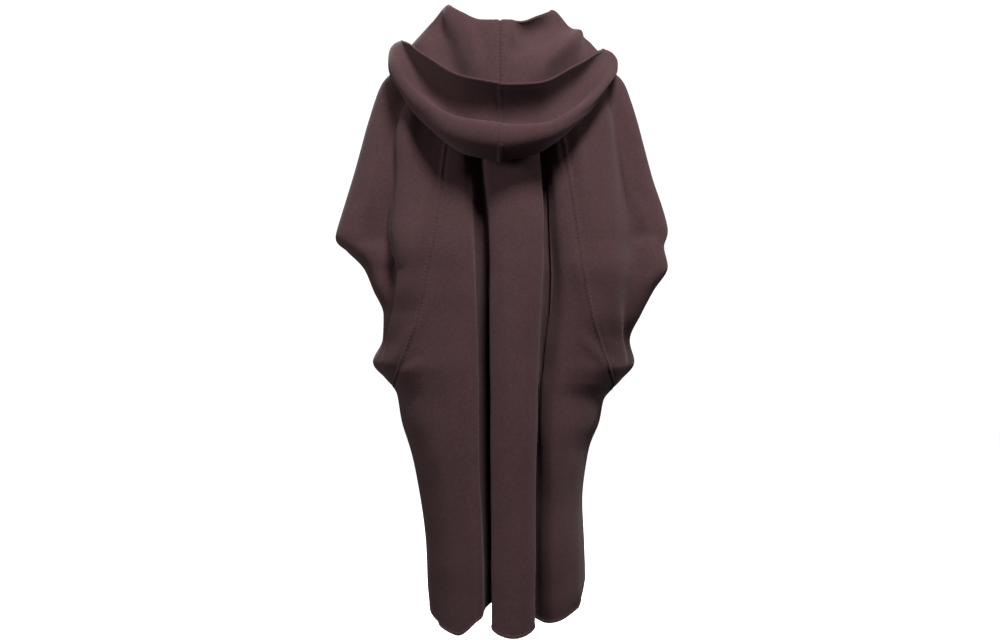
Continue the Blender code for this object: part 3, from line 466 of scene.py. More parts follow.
@functools.lru_cache(maxsize=None)
def fold_path(part, t):
    """The fold lines at section t, as distances round and inside, and their lifts of the hem."""
    row = section(t)
    lines = BACK_LINES if part == "back" else FRONT_LINES
    middle = (row["x_left"] + row["x_right"]) / 2
    half = (row["x_right"] - row["x_left"]) / 2
    z = row["z_back"]
    angles = []
    insets = []
    for place, inset, _ in lines.values():
        insets.append(level_value(inset, z))
        if isinstance(place, float):
            angles.append(None)
            continue
        share = np.clip((level_value(place, z) - middle) / half, -SIDE_SHARE, SIDE_SHARE)
        angles.append(math.acos(-math.copysign(abs(share) ** (row["power"] / 2), share)))
    shares = [place for place, _, _ in lines.values()]
    lifts = [0.0] + [lift for _, _, lift in lines.values()] + [0.0]
    angles[0] = shares[0] * angles[2]
    angles[1] = shares[1] * angles[2]
    angles[-2] = math.pi - shares[-2] * (math.pi - angles[-3])
    angles[-1] = math.pi - shares[-1] * (math.pi - angles[-3])
    angles = [0.0] + angles + [math.pi]
    insets = [0.0] + insets + [0.0]
    path = np.array([[angle * half, inset] for angle, inset in zip(angles, insets)])
    return path, lifts, half


def cloth(part, t, q):
    """Points of the cloak's middle surface, at section t and at q along the fold lines."""
    row = section(t)
    path, lifts, half = fold_path(part, t)
    spot = through(path, q)
    angle = np.clip(spot[:, 0] / half, 0, math.pi)
    low = np.clip(angle - ANGLE_STEP, 0, math.pi)
    high = np.clip(angle + ANGLE_STEP, 0, math.pi)
    along = oval(part, row, high) - oval(part, row, low)
    length = np.hypot(along[:, 0], along[:, 1])
    sign = 1 if part == "back" else -1
    inward = np.stack([-along[:, 1], along[:, 0], np.zeros(len(angle))], axis=-1) * sign
    inward = inward / length[:, None]
    points = oval(part, row, angle) + inward * spot[:, 1:2]
    share = np.clip((t - HEM_LIFT_START) / (HEM - HEM_LIFT_START), 0, 1)
    points[:, 2] += gentle(range(len(lifts)), lifts, q) * share ** 2 * (3 - 2 * share)
    return points


def unit(vectors):
    return vectors / np.linalg.norm(vectors, axis=-1, keepdims=True)


def cloth_normals(part, t, q):
    """Unit normals of the middle surface, pointing out of the cloak."""
    last = BACK_LAST if part == "back" else FRONT_LAST
    q = np.asarray(q, float)
    after = np.clip(q + STEP, 0, last)
    before = np.clip(q - STEP, 0, last)
    across = cloth(part, t, after) - cloth(part, t, before)
    down = cloth(part, min(t + STEP, HEM), q) - cloth(part, max(t - STEP, 0), q)
    normal = np.cross(down, across)
    return unit(-normal if part == "back" else normal)


def side_normal(t, right):
    """The normal shared by back and front where they meet at the side."""
    back_end = BACK_LAST if right else 0
    front_end = FRONT_LAST if right else 0
    back = cloth_normals("back", t, [back_end])[0]
    return unit(back + cloth_normals("front", t, [front_end])[0])


def at_x(part, t, x, start, stop):
    """q where the section reaches x, looking from start towards stop."""
    q = np.linspace(start, stop, SEAM_SAMPLES)
    found = cloth(part, t, q)[:, 0] - x
    change = np.nonzero(found[:-1] * found[1:] <= 0)[0]
    if len(change) == 0:
        return None
    i = change[0]
    share = found[i] / (found[i] - found[i + 1])
    return q[i] + share * (q[i + 1] - q[i])


@functools.lru_cache(maxsize=None)
def seam_q(part, t, right):
    """q of the raglan seam at section t, or the side's own q from the side seam down."""
    last = BACK_LAST if part == "back" else FRONT_LAST
    side = last if right else 0
    if t >= SIDE_TOP - NEARLY:
        return float(side)
    tables = {
        ("back", False): BACK_RAGLAN_LEFT,
        ("back", True): BACK_RAGLAN_RIGHT,
        ("front", False): FRONT_RAGLAN_LEFT,
        ("front", True): FRONT_RAGLAN_RIGHT,
    }
    z = section(t)["z_back"]
    x = float(gentle([-level for level in RAGLAN_LEVELS], tables[(part, right)], -z))
    if part == "back":
        start = RIGHT_LOBE if right else LEFT_LOBE
    else:
        start = FRONT_MIDDLE
    q = at_x(part, t, x, start, side)
    least = SEAM_ROOM * (SIDE_TOP - t)
    if q is None:
        q = side
    if abs(q - side) < least:
        q = side - least if right else side + least
    return float(q)


def spaced(part, t, start, stop, count, near_start, near_stop):
    """Values of q from start to stop, close together near a seam or edge and even between."""
    q = np.linspace(start, stop, SPACING_SAMPLES)
    steps = np.linalg.norm(np.diff(cloth(part, t, q), axis=0), axis=1)
    travelled = np.concatenate([[0], np.cumsum(steps)])
    total = travelled[-1]
    near = np.array(NEAR_STEPS) * min(1.0, total / (3 * NEAR_STEPS[-1]))
    first = near if near_start else near[:1]
    last = total - near[::-1] if near_stop else np.array([total])
    middle = np.linspace(first[-1], last[0], count + 1)[1:-1]
    return np.interp(np.concatenate([first, middle, last]), travelled, q)


def fine_rows():
    """The sections that carry a row of mesh points, closer together at the neck and the hem."""
    rows = {float(HEM)}
    for i, count in enumerate(ROWS_BETWEEN):
        rows.update(i + k / count for k in range(count))
    neck_length = SECTIONS["neck"][2] - SECTIONS["neck_base"][2]
    hem_length = SECTIONS["ankle"][2] - SECTIONS["hem"][2]
    rows.update(distance / neck_length for distance in NEAR_STEPS[1:-1])
    rows.update(HEM - distance / hem_length for distance in NEAR_STEPS[1:-1])
    return sorted(rows)


def bell(distance, place, width):
    return np.exp(-(((distance - place) / width) ** 2))


def travelled_along(points, axis):
    """How far each point lies from the first one of its row or column, over the cloth."""
    steps = np.linalg.norm(np.diff(points, axis=axis), axis=2)
    start = np.zeros_like(np.take(steps, [0], axis=axis))
    return np.concatenate([start, np.cumsum(steps, axis=axis)], axis=axis)


def crease_height(flat, table, scale=(1.0, 1.0)):
    """The height that creases add at flat places. Scale turns the table's places into metres."""
    height = np.zeros(flat.shape[:-1])
    for row in table.values():
        line = np.array([row[0:2], row[2:4], row[4:6]]) * scale
        line = through(line, np.linspace(0, 2, CREASE_SAMPLES))
        width, depth = row[6:8]
        steps = np.linalg.norm(np.diff(line, axis=0), axis=1)
        along = np.concatenate([[0], np.cumsum(steps)])
        away = np.full(height.shape, np.inf)
        place = np.zeros(height.shape)
        for spot, ahead, travelled, step in zip(line, line[1:], along, steps):
            part = np.clip((flat - spot) @ (ahead - spot) / step ** 2, 0, 1)
            gap = np.linalg.norm(flat - spot - part[..., None] * (ahead - spot), axis=-1)
            place = np.where(gap < away, travelled + part * step, place)
            away = np.minimum(away, gap)
        share = place / along[-1]
        ends = np.clip(np.sin(math.pi * np.clip(share, 0, 1)), 0, 1) ** CREASE_END_POWER
        height += depth * ends * bell(away, 0, width)
    return height


def wave_height(points):
    height = np.zeros(points.shape[:-1])
    for size, along_x, along_y, along_z, phase in WAVES.values():
        height += size * np.sin(points @ np.array([along_x, along_y, along_z], float) + phase)
    return height


def garment_height(part, points, away):
    """Creases and waves at points of the back or front. Away is how far they are from the side."""
    creases = BACK_CREASES if part == "back" else FRONT_CREASES
    height = crease_height(points[..., [0, 2]], creases)
    return height * np.clip(away / SIDE_FADE, 0, 1) + wave_height(points)


def seam_lift(distance):
    sunk = -SEAM_SINK * bell(distance, 0, SEAM_SINK_WIDTH)
    return sunk + SEAM_SWELL * bell(distance, SEAM_SWELL_PLACE, SEAM_SWELL_WIDTH)


def quarter_round(distance, radius, least):
    inside = np.clip(1 - distance / radius, 0, 1)
    return np.maximum(np.sqrt(1 - inside ** 2), least)


def half_wall(seam, edge):
    """Half the cloth's thickness at distances from the nearest seam and free edge."""
    share = quarter_round(seam, SEAM_ROUND, SEAM_LEAST) * quarter_round(edge, EDGE_ROUND, EDGE_LEAST)
    turned = 1 + EDGE_SWELL * bell(edge, EDGE_SWELL_PLACE, EDGE_SWELL_WIDTH)
    turned = turned - EDGE_SINK * bell(edge, EDGE_SINK_PLACE, EDGE_SINK_WIDTH)
    return WALL / 2 * share * turned


class Patch:
    """One sewn piece's middle surface as rows and columns of points, with what lies at its sides."""

    def __init__(self, points, normals):
        self.points = np.array(points, float)
        self.normals = np.array(normals, float)
        across = travelled_along(self.points, 1)
        down = travelled_along(self.points, 0)
        self.from_start = across
        self.from_stop = across[:, -1:] - across
        self.from_top = down
        self.from_bottom = down[-1:] - down
        self.seam = np.full(across.shape, FAR)
        self.edge = np.full(across.shape, FAR)
        self.seam_along = down
        self.edge_along = across
        self.height = np.zeros(across.shape)

    def sew(self, distance):
        self.seam = np.minimum(self.seam, distance)

    def leave_free(self, distance):
        self.edge = np.minimum(self.edge, distance)

    def skin(self, side):
        """The outer skin where side is 1 and the inner one where it is -1."""
        offset = self.height + seam_lift(self.seam) + side * half_wall(self.seam, self.edge)
        return self.points + self.normals * offset[..., None]


def new_mesh_object(name, vertices, faces):
    mesh = bpy.data.meshes.new(name)
    mesh.from_pydata(np.asarray(vertices).tolist(), [], faces)
    mesh.update()
    mesh.polygons.foreach_set("use_smooth", np.ones(len(mesh.polygons), bool))
    piece = bpy.data.objects.new(name, mesh)
    bpy.context.scene.collection.objects.link(piece)
    return piece


def grid_faces(rows, columns):
    faces = []
    for r in range(rows - 1):
        for c in range(columns - 1):
            first = r * columns + c
            faces.append((first, first + 1, first + columns + 1, first + columns))
    return faces


def make_shell(name, patch, faces):
    """A closed thin shell round the patch, with its outer skin, inner skin and rims."""
    used = sorted({index for face in faces for index in face})
    place = {index: i for i, index in enumerate(used)}
    faces = [tuple(place[index] for index in face) for face in faces]
    outer = patch.skin(1).reshape(-1, 3)[used]
    inner = patch.skin(-1).reshape(-1, 3)[used]
    count = len(used)
    shell = list(faces)
    shell += [tuple(index + count for index in reversed(face)) for face in faces]
    edges = set()
    for face in faces:
        for a, b in zip(face, face[1:] + face[:1]):
            if (b, a) in edges:
                edges.remove((b, a))
            else:
                edges.add((a, b))
    shell += [(b, a, a + count, b + count) for a, b in sorted(edges)]
    if pointing_in(outer, faces, patch.normals.reshape(-1, 3)[used]):
        shell = [tuple(reversed(face)) for face in shell]
    piece = new_mesh_object("cloth_" + name, np.vstack([outer, inner]), shell)
    for label in ("seam", "edge", "seam_along", "edge_along"):
        values = getattr(patch, label).ravel()[used].astype(np.float32)
        attribute = piece.data.attributes.new(label, "FLOAT", "POINT")
        attribute.data.foreach_set("value", np.concatenate([values, values]))
    return piece


def pointing_in(points, faces, normals):
    """True if most faces of a skin turn away from its outward normals."""
    total = 0.0
    for face in faces[::FACE_SAMPLE]:
        a, b, c = (points[index] for index in face[:3])
        total += float(np.dot(np.cross(b - a, c - a), normals[face[0]]))
    return total < 0


def back_fold_q():
    """q of the fine columns between the back's two lobe edges, which stay on the fold lines."""
    steps = (RIGHT_LOBE - LEFT_LOBE) * BACK_FOLD_COLUMNS
    return np.linspace(LEFT_LOBE, RIGHT_LOBE, steps + 1)[1:-1]


def back_patch():
    points = []
    normals = []
    for t in fine_rows():
        left = seam_q("back", t, False)
        right = seam_q("back", t, True)
        q = np.concatenate([
            spaced("back", t, left, LEFT_LOBE, BACK_SIDE_COLUMNS, True, False),
            back_fold_q(),
            spaced("back", t, RIGHT_LOBE, right, BACK_SIDE_COLUMNS, False, True),
        ])
        normal = cloth_normals("back", t, q)
        if t >= SIDE_TOP - NEARLY:
            normal[0] = side_normal(t, False)
            normal[-1] = side_normal(t, True)
        points.append(cloth("back", t, q))
        normals.append(normal)
    patch = Patch(points, normals)
    patch.height = garment_height("back", patch.points, np.abs(patch.points[..., 1]))
    patch.sew(patch.from_start)
    patch.sew(patch.from_stop)
    patch.sew(patch.from_top)
    patch.leave_free(patch.from_bottom)
    return patch


def front_patch(right):
    """One front panel, from its raglan seam or side seam to the open centre front."""
    points = []
    normals = []
    side = 1 if right else -1
    for t in fine_rows():
        gap = FRONT_GAP_NECK + (FRONT_GAP_HEM - FRONT_GAP_NECK) * t / HEM
        outer = FRONT_LAST if right else 0
        edge = at_x("front", t, side * gap / 2, FRONT_MIDDLE - 0.8 * side, outer)
        q = spaced("front", t, seam_q("front", t, right), edge, FRONT_COLUMNS, True, True)
        normal = cloth_normals("front", t, q)
        if t >= SIDE_TOP - NEARLY:
            normal[0] = side_normal(t, right)
        points.append(cloth("front", t, q))
        normals.append(normal)
    patch = Patch(points, normals)
    patch.height = garment_height("front", patch.points, np.abs(patch.points[..., 1]))
    patch.sew(patch.from_start)
    patch.sew(patch.from_top)
    patch.leave_free(patch.from_stop)
    patch.leave_free(patch.from_bottom)
    near_centre = patch.from_stop < patch.from_bottom
    patch.edge_along = np.where(near_centre, patch.from_top, patch.from_start)
    return patch


def sleeve_patch(right):
    """One raglan sleeve's patch, the column of the cuff's back edge and which rows are open."""
    points = []
    normals = []
    rows = [t for t in fine_rows() if t <= SIDE_TOP + NEARLY]
    back_side = float(BACK_LAST) if right else 0.0
    front_side = float(FRONT_LAST) if right else 0.0
    half = SLEEVE_COLUMNS + 2 * len(NEAR_STEPS) - 1
    opened = np.array([ELBOW + NEARLY < t < UNDERARM - NEARLY for t in rows])
    for t, is_open in zip(rows, opened):
        if t >= SIDE_TOP - NEARLY:
            spot = cloth("back", t - SLEEVE_END, [back_side])[0]
            points.append(np.tile(spot, (2 * half, 1)))
            normals.append(np.tile(side_normal(t, right), (2 * half, 1)))
            continue
        back_seam = seam_q("back", t, right)
        front_seam = seam_q("front", t, right)
        back_q = spaced("back", t, back_seam, back_side, SLEEVE_COLUMNS, True, True)
        front_q = spaced("front", t, front_side, front_seam, SLEEVE_COLUMNS, True, True)
        back_normal = cloth_normals("back", t, back_q)
        front_normal = cloth_normals("front", t, front_q)
        if not is_open:
            back_normal[-1] = side_normal(t, right)
            front_normal[0] = back_normal[-1]
        points.append(np.vstack([cloth("back", t, back_q), cloth("front", t, front_q)]))
        normals.append(np.vstack([back_normal, front_normal]))
    patch = Patch(points, normals)
    across = patch.from_start
    back_away = across[:, half - 1:half] - across[:, :half]
    front_away = across[:, half:] - across[:, half:half + 1]
    back_height = garment_height("back", patch.points[:, :half], back_away)
    front_height = garment_height("front", patch.points[:, half:], front_away)
    patch.height = np.concatenate([back_height, front_height], axis=1)
    patch.sew(patch.from_start)
    patch.sew(patch.from_stop)
    patch.sew(patch.from_top)
    low = patch.points[opened.nonzero()[0][0] - 1, half - 1]
    high = patch.points[opened.nonzero()[0][-1] + 1, half - 1]
    rim = np.vstack([patch.points[opened, half - 1], patch.points[opened, half], [low], [high]])
    away = np.full(patch.seam.shape, FAR)
    for spot in rim:
        away = np.minimum(away, np.linalg.norm(patch.points - spot, axis=2))
    patch.leave_free(away)
    patch.edge_along = patch.from_top
    return patch, half, opened


def sleeve_faces(rows, columns, half, opened):
    """Faces of the sleeve: its side column is one line where it is closed and two at the cuff."""
    faces = []
    for r in range(rows - 1):
        for c in range(columns - 1):
            if c == half - 1:
                continue
            corners = [(r, c), (r, c + 1), (r + 1, c + 1), (r + 1, c)]
            if r + 1 == rows - 1:
                corners = [(r, c), (r, c + 1), (r + 1, 0)]
            face = []
            for row, column in corners:
                if column == half and not opened[row]:
                    column = half - 1
                face.append(row * columns + column)
            faces.append(tuple(face))
    return faces


def neckline(right, azimuth):
    """The neckline's point at one azimuth and the cloak's normal there."""
    turn = math.radians(azimuth)
    part = "back" if azimuth <= 90 else "front"
    angle = abs(math.pi / 2 - turn)
    angle = math.pi - angle if right else angle
    here = oval(part, section(0.0), np.array([angle]))[0]
    below = oval(part, section(STEP), np.array([angle]))[0]
    sides = np.clip([angle - SMALL_STEP, angle + SMALL_STEP], 0, math.pi)
    spread = oval(part, section(0.0), sides)
    normal = unit(np.cross(below - here, spread[1] - spread[0]))
    return here, -normal if part == "back" else normal


def right_change(change, azimuth):
    """How much of a change on the right half of the hood there is at one azimuth."""
    most, end, power = change
    return most * math.sin(math.pi * min(azimuth / end, 1)) ** power


def hood_profile(right, azimuth):
    """The hood's places at one azimuth, from the neck seam to the face edge."""
    side = 1 if right else -1
    azimuths = tuple(HOOD)
    turn = math.radians(azimuth)
    outward = np.array([math.sin(turn) * side, -math.cos(turn), 0.0])
    neck = neckline(right, azimuth)[0]
    places = [neck]
    lower = 0.0
    peak_lower = 0.0
    wider = 1.0
    if right:
        wider = 1 + right_change(HOOD_RIGHT_WIDER, azimuth)
        lower = right_change(HOOD_RIGHT_LOWER, azimuth)
        peak_lower = right_change(HOOD_RIGHT_PEAK_LOWER, azimuth)
    for k, name in enumerate(HOOD_PLACES):
        reach = float(gentle(azimuths, [HOOD[a][k][0] for a in azimuths], azimuth))
        height = float(gentle(azimuths, [HOOD[a][k][1] for a in azimuths], azimuth))
        if name in HOOD_EDGE_PLACES:
            height -= lower
        if name in HOOD_PEAK_PLACES:
            height -= peak_lower
        spot = neck + outward * reach * wider
        spot[2] = height
        places.append(spot)
    return np.array(places)


def near_both_ends(last, metres, count):
    """Values from 0 to last, closer together at both ends. A value of 1 is so many metres."""
    near = np.array(NEAR_STEPS[:-1]) / metres
    return np.unique(np.concatenate([near, np.linspace(near[-1], last - near[-1], count), last - near]))


def hood_patch(right):
    """One half of the hood, a row for each azimuth and its columns from the neck to the face edge."""
    side = 1 if right else -1
    last = max(HOOD)
    q = near_both_ends(len(HOOD_PLACES), HOOD_PLACE, HOOD_ROWS)
    azimuths = near_both_ends(last, HOOD_DEGREE, HOOD_AZIMUTHS)
    points = []
    normals = []
    for azimuth in azimuths:
        profile = hood_profile(right, azimuth)
        here = through(profile, q)
        along = through(profile, q + PLACE_STEP) - through(profile, q - PLACE_STEP)
        ahead = through(hood_profile(right, min(azimuth + AZIMUTH_STEP, last)), q)
        behind = through(hood_profile(right, max(azimuth - AZIMUTH_STEP, 0)), q)
        round_neck = ahead - behind
        if azimuth == 0:
            round_neck = np.tile([float(side), 0.0, 0.0], (len(q), 1))
        normal = unit(np.cross(along, round_neck) * side)
        normal[0] = neckline(right, azimuth)[1]
        points.append(here)
        normals.append(normal)
    patch = Patch(points, normals)
    flat = np.stack(np.meshgrid(azimuths * side, q, indexing="ij"), axis=-1)
    patch.height = crease_height(flat * HOOD_SCALE, HOOD_CREASES, HOOD_SCALE)
    # Past the bottom the cloth comes up again, and its normal faces away from the viewer
    patch.height *= np.where(q > HOOD_PLACES.index("bottom") + 1, -1, 1)
    patch.height -= LIP * bell(patch.from_bottom, 0, LIP_WIDTH)
    patch.height += wave_height(patch.points)
    patch.sew(patch.from_start)
    patch.sew(patch.from_top)
    patch.leave_free(patch.from_stop)
    patch.leave_free(patch.from_bottom)
    patch.seam_along = patch.from_start
    patch.edge_along = patch.from_top
    return patch


def stitch_line(skin, normals, distance, wanted):
    """Points along a patch at one distance from a side: one for each row, with its normal."""
    spots = []
    ups = []
    for row, normal, away in zip(skin, normals, distance):
        if away.max() < wanted:
            continue
        order = np.argsort(away)
        spots.append([np.interp(wanted, away[order], row[order, k]) for k in range(3)])
        ups.append([np.interp(wanted, away[order], normal[order, k]) for k in range(3)])
    return np.array(spots), unit(np.array(ups))


def add_stitches(lines, spots, ups):
    """Evenly spaced short stitches along a line of points, as centre, direction and up."""
    steps = np.linalg.norm(np.diff(spots, axis=0), axis=1)
    travelled = np.concatenate([[0], np.cumsum(steps)])
    count = int(travelled[-1] / STITCH_STEP)
    for k in range(count):
        place = (k + 0.5) * STITCH_STEP
        centre = np.array([np.interp(place, travelled, spots[:, i]) for i in range(3)])
        further = place + STITCH_AHEAD
        ahead = np.array([np.interp(further, travelled, spots[:, i]) for i in range(3)])
        up = np.array([np.interp(place, travelled, ups[:, i]) for i in range(3)])
        lines.append((centre, unit(ahead - centre), unit(up)))


def make_stitches(name, lines, material):
    """Small humps of thread, sunk at both ends into the cloth."""
    vertices = []
    faces = []
    for number, (centre, ahead, up) in enumerate(lines):
        across = np.cross(ahead, up)
        uneven = 1 + sum(size * math.sin(number * pace + phase) for size, pace, phase in STITCH_WAVES)
        first = len(vertices)
        for along, size, rise in STITCH_RINGS:
            middle = centre + ahead * along * STITCH_LENGTH * uneven + up * rise * STITCH_RADIUS
            for k in range(STITCH_SIDES):
                turn = 2 * math.pi * k / STITCH_SIDES
                ring = across * math.cos(turn) + up * math.sin(turn)
                vertices.append(middle + ring * STITCH_RADIUS * size)
        for r in range(len(STITCH_RINGS) - 1):
            for k in range(STITCH_SIDES):
                a = first + r * STITCH_SIDES + k
                b = first + r * STITCH_SIDES + (k + 1) % STITCH_SIDES
                faces.append((a, b, b + STITCH_SIDES, a + STITCH_SIDES))
        faces.append(tuple(first + k for k in reversed(range(STITCH_SIDES))))
        top = first + (len(STITCH_RINGS) - 1) * STITCH_SIDES
        faces.append(tuple(top + k for k in range(STITCH_SIDES)))
    piece = new_mesh_object("stitches_" + name, vertices, faces)
    piece.data.materials.append(material)
    return piece


class Nodes:
    """Short calls for building a material's nodes."""

    def __init__(self, name):
        self.material = bpy.data.materials.new(name)
        self.material.use_nodes = True
        self.tree = self.material.node_tree
        self.shader = self.tree.nodes["Principled BSDF"]

    def add(self, kind, settings=None, **inputs):
        node = self.tree.nodes.new("ShaderNode" + kind)
        for key, value in (settings or {}).items():
            setattr(node, key, value)
        for key, value in inputs.items():
            self.put(node.inputs[self.find(node, key)], value)
        return node

    def find(self, node, key):
        """An input's number, from its number as text or its name with underscores."""
        if key.startswith("n") and key[1:].isdigit():
            return int(key[1:])
        return [socket.name.lower().replace(" ", "_") for socket in node.inputs].index(key)

    def put(self, socket, value):
        if isinstance(value, bpy.types.NodeSocket):
            self.tree.links.new(value, socket)
        else:
            socket.default_value = value

    def sum(self, a, b):
        return self.add("Math", {"operation": "ADD"}, n0=a, n1=b).outputs[0]

    def times(self, a, b):
        return self.add("Math", {"operation": "MULTIPLY"}, n0=a, n1=b).outputs[0]

    def bell(self, value, place, width):
        """1 where value is at place, falling softly to 0 over width to each side."""
        away = self.add("Math", {"operation": "SUBTRACT"}, n0=value, n1=place).outputs[0]
        away = self.add("Math", {"operation": "ABSOLUTE"}, n0=away).outputs[0]
        return self.ramp(away, 0.0, width, 1.0, 0.0, SMOOTH)

    def noise(self, vector, scale, detail, roughness=0.5):
        node = self.add("TexNoise", vector=vector, scale=scale, detail=detail, roughness=roughness)
        return node.outputs[0]

    def ramp(self, value, start, stop, low, high, settings=None):
        """A value mapped from the range start to stop onto the range low to high."""
        node = self.add("MapRange", settings, value=value,
                        from_min=start, from_max=stop, to_min=low, to_max=high)
        return node.outputs[0]

    def mix(self, share, first, second):
        return self.add("Mix", {"data_type": "RGBA"}, n0=share, n6=first, n7=second).outputs[2]

    def shade(self, name, value):
        self.put(self.shader.inputs[name], value)

    def emboss(self, height, strength):
        """Bumps the surface by a height in metres."""
        bump = self.add("Bump", strength=strength, distance=1.0, height=height)
        self.shade("Normal", bump.outputs[0])

    def attribute(self, name):
        return self.add("Attribute", {"attribute_name": name}).outputs["Fac"]


def wool_material():
    """Felted double-faced wool: matt, mottled, with a short nap and dimples at the stitches."""
    make = Nodes("wool")
    place = make.add("TexCoord").outputs["Object"]
    brushed = make.add("Mapping", vector=place, scale=BRUSHED).outputs[0]
    grains = {}
    colour_shares = []
    nap_heights = []
    for name, (scale, detail, roughness, share, height) in GRAIN.items():
        grains[name] = make.noise(brushed if name == "fibre" else place, scale, detail, roughness)
        colour_shares.append(make.times(grains[name], share))
        if height:
            nap_heights.append(make.times(grains[name], height))
    mottle = make.ramp(functools.reduce(make.sum, colour_shares), *MOTTLE_RANGE, 0.0, 1.0, SMOOTH)
    make.shade("Base Color", make.mix(mottle, WOOL_DARK, WOOL_LIGHT))
    make.shade("Roughness", make.ramp(grains["lint"], *LINT_RANGE, *ROUGHNESS_RANGE))
    make.shade("Specular IOR Level", 0.18)
    make.shade("Sheen Weight", 0.08)
    make.shade("Sheen Roughness", 0.55)
    make.shade("Sheen Tint", SHEEN_TINT)
    nap = functools.reduce(make.sum, nap_heights)
    make.emboss(make.sum(nap, make.times(stitch_dimples(make), -DIMPLE_DEPTH)), 0.85)
    return make.material


def stitch_dimples(make):
    """1 in the small pits that hand stitches pull in the cloth beside seams and edges."""
    found = []
    for label, place in (("seam", SEAM_STITCH_PLACE), ("edge", EDGE_SINK_PLACE)):
        near = make.bell(make.attribute(label), place, DIMPLE_WIDTH)
        steps = make.times(make.attribute(label + "_along"), 1 / STITCH_STEP)
        share = make.add("Math", {"operation": "FRACT"}, n0=steps).outputs[0]
        found.append(make.times(near, make.bell(share, 0.5, DIMPLE_SHARE)))
    return make.add("Math", {"operation": "MAXIMUM"}, n0=found[0], n1=found[1]).outputs[0]


def thread_material():
    make = Nodes("thread")
    twist = make.noise(make.add("TexCoord").outputs["Object"], TWIST_SCALE, 2)
    make.shade("Base Color", make.mix(twist, WOOL_LIGHT, THREAD))
    make.shade("Roughness", 0.7)
    make.shade("Sheen Weight", 0.12)
    make.emboss(make.times(twist, TWIST_HEIGHT), 0.6)
    return make.material


def dress(name, patch, faces, wool, thread, lines):
    piece = make_shell(name, patch, faces)
    piece.data.materials.append(wool)
    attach(piece, "root")
    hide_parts(name)
    stitches = make_stitches(name, lines, thread)
    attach(stitches, "root")


def side_stitches(patch, sides, wanted):
    """Stitches along some sides of a patch, at one distance from each."""
    skin = patch.skin(1)
    lines = []
    for side in sides:
        distance = getattr(patch, side)
        normals = patch.normals
        points = skin
        if side in ("from_top", "from_bottom"):
            distance = distance.T
            normals = normals.transpose(1, 0, 2)
            points = skin.transpose(1, 0, 2)
        spots, ups = stitch_line(points, normals, distance, wanted)
        add_stitches(lines, spots, ups)
    return lines


def make_cloak(wool, thread):
    patch = back_patch()
    rows, columns = patch.seam.shape
    lines = side_stitches(patch, ["from_start", "from_stop"], SEAM_STITCH_PLACE)
    lines += side_stitches(patch, ["from_bottom"], EDGE_SINK_PLACE)
    dress("back", patch, grid_faces(rows, columns), wool, thread, lines)
    for right in (False, True):
        hand = "right" if right else "left"
        patch = front_patch(right)
        rows, columns = patch.seam.shape
        lines = side_stitches(patch, ["from_start"], SEAM_STITCH_PLACE)
        lines += side_stitches(patch, ["from_stop", "from_bottom"], EDGE_SINK_PLACE)
        faces = grid_faces(rows, columns)
        dress("front_" + hand, patch, faces, wool, thread, lines)

        patch, half, opened = sleeve_patch(right)
        rows, columns = patch.seam.shape
        lines = side_stitches(patch, ["from_start", "from_stop"], SEAM_STITCH_PLACE)
        lines += cuff_stitches(patch, half, opened)
        faces = sleeve_faces(rows, columns, half, opened)
        dress("sleeve_" + hand, patch, faces, wool, thread, lines)

        patch = hood_patch(right)
        rows, columns = patch.seam.shape
        lines = side_stitches(patch, ["from_top"], HOOD_STITCH_PLACE)
        lines += side_stitches(patch, ["from_stop"], EDGE_SINK_PLACE)
        dress("hood_" + hand, patch, grid_faces(rows, columns), wool, thread, lines)


def cuff_stitches(patch, half, opened):
    """Stitches round the cuff, on its back and front edges."""
    lines = []
    skin = patch.skin(1)
    for columns in (slice(0, half), slice(half, None)):
        normals = patch.normals[opened, columns]
        edge = patch.edge[opened, columns]
        spots, ups = stitch_line(skin[opened, columns], normals, edge, EDGE_SINK_PLACE)
        add_stitches(lines, spots, ups)
    return lines


def add_camera():
    camera = bpy.data.cameras.new("camera")
    camera.sensor_width = SENSOR
    camera.lens = SENSOR * CAMERA_DISTANCE / VIEW_WIDTH
    camera.clip_end = CLIP_END
    holder = bpy.data.objects.new("camera", camera)
    holder.location = (0.0, -CAMERA_DISTANCE, CAMERA_HEIGHT)
    holder.rotation_euler = (math.pi / 2, 0.0, 0.0)
    bpy.context.scene.collection.objects.link(holder)
    bpy.context.scene.camera = holder


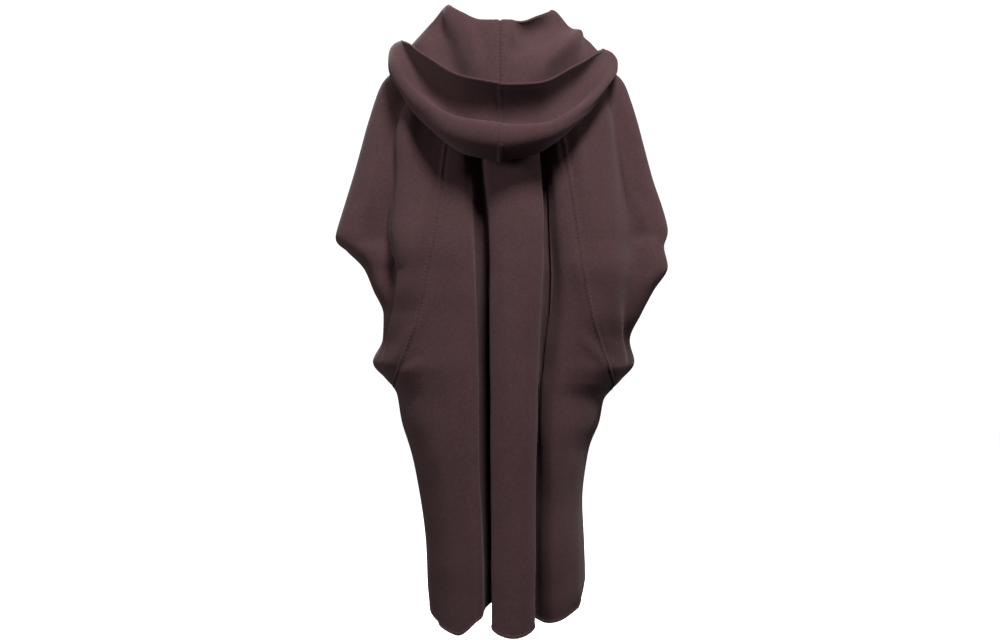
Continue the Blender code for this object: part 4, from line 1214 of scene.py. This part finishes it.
def add_light(name, place, target, size, power):
    light = bpy.data.lights.new(name, "AREA")
    light.shape = "DISK"
    light.size = size
    light.energy = power
    holder = bpy.data.objects.new(name, light)
    holder.location = place
    away = np.array(place) - np.array(target)
    holder.rotation_euler = (
        math.atan2(math.hypot(away[0], away[1]), away[2]), 0.0, math.atan2(away[0], -away[1])
    )
    bpy.context.scene.collection.objects.link(holder)


def glow(name, colour, strength):
    """A plain pale material that is also lit from itself, for the studio."""
    make = Nodes(name)
    cloud = make.noise(make.add("TexCoord").outputs["Object"], 3, 2)
    dim = tuple(part * 0.97 for part in colour) + (1.0,)
    make.shade("Base Color", make.mix(cloud, dim, colour + (1.0,)))
    make.shade("Roughness", 0.9)
    make.shade("Emission Color", colour + (1.0,))
    make.shade("Emission Strength", strength)
    return make.material


def set_stage(piece, material):
    """Gives a studio piece its material; the camera sees it, but it doesn't light the cloak."""
    piece.data.materials.append(material)
    piece.visible_diffuse = False
    piece.visible_glossy = False
    piece.visible_transmission = False
    piece.visible_shadow = False


def add_studio():
    """A white room and a pale floor, weak light from all round and the lamps."""
    world = bpy.data.worlds.new("studio")
    world.use_nodes = True
    background = world.node_tree.nodes["Background"]
    background.inputs["Color"].default_value = (1.0, 1.0, 1.0, 1.0)
    background.inputs["Strength"].default_value = AMBIENT
    bpy.context.scene.world = world
    bpy.context.scene.view_settings.view_transform = "Standard"

    ring = [2 * math.pi * k / FLOOR_CORNERS for k in range(FLOOR_CORNERS)]
    vertices = [(FLOOR_RADIUS * math.cos(a), FLOOR_RADIUS * math.sin(a), FLOOR_HEIGHT) for a in ring]
    floor = new_mesh_object("floor", vertices, [tuple(range(FLOOR_CORNERS))])
    set_stage(floor, glow("floor", FLOOR_COLOUR, FLOOR_GLOW))

    bm = bmesh.new()
    bmesh.ops.create_icosphere(bm, subdivisions=4, radius=ROOM_RADIUS)
    mesh = bpy.data.meshes.new("room")
    bm.to_mesh(mesh)
    bm.free()
    room = bpy.data.objects.new("room", mesh)
    bpy.context.scene.collection.objects.link(room)
    set_stage(room, glow("room", ROOM_COLOUR, ROOM_GLOW))

    for name, (place, target, size, power) in LIGHTS.items():
        add_light(name, place, target, size, power)


add_camera()
add_studio()
make_cloak(wool_material(), thread_material())
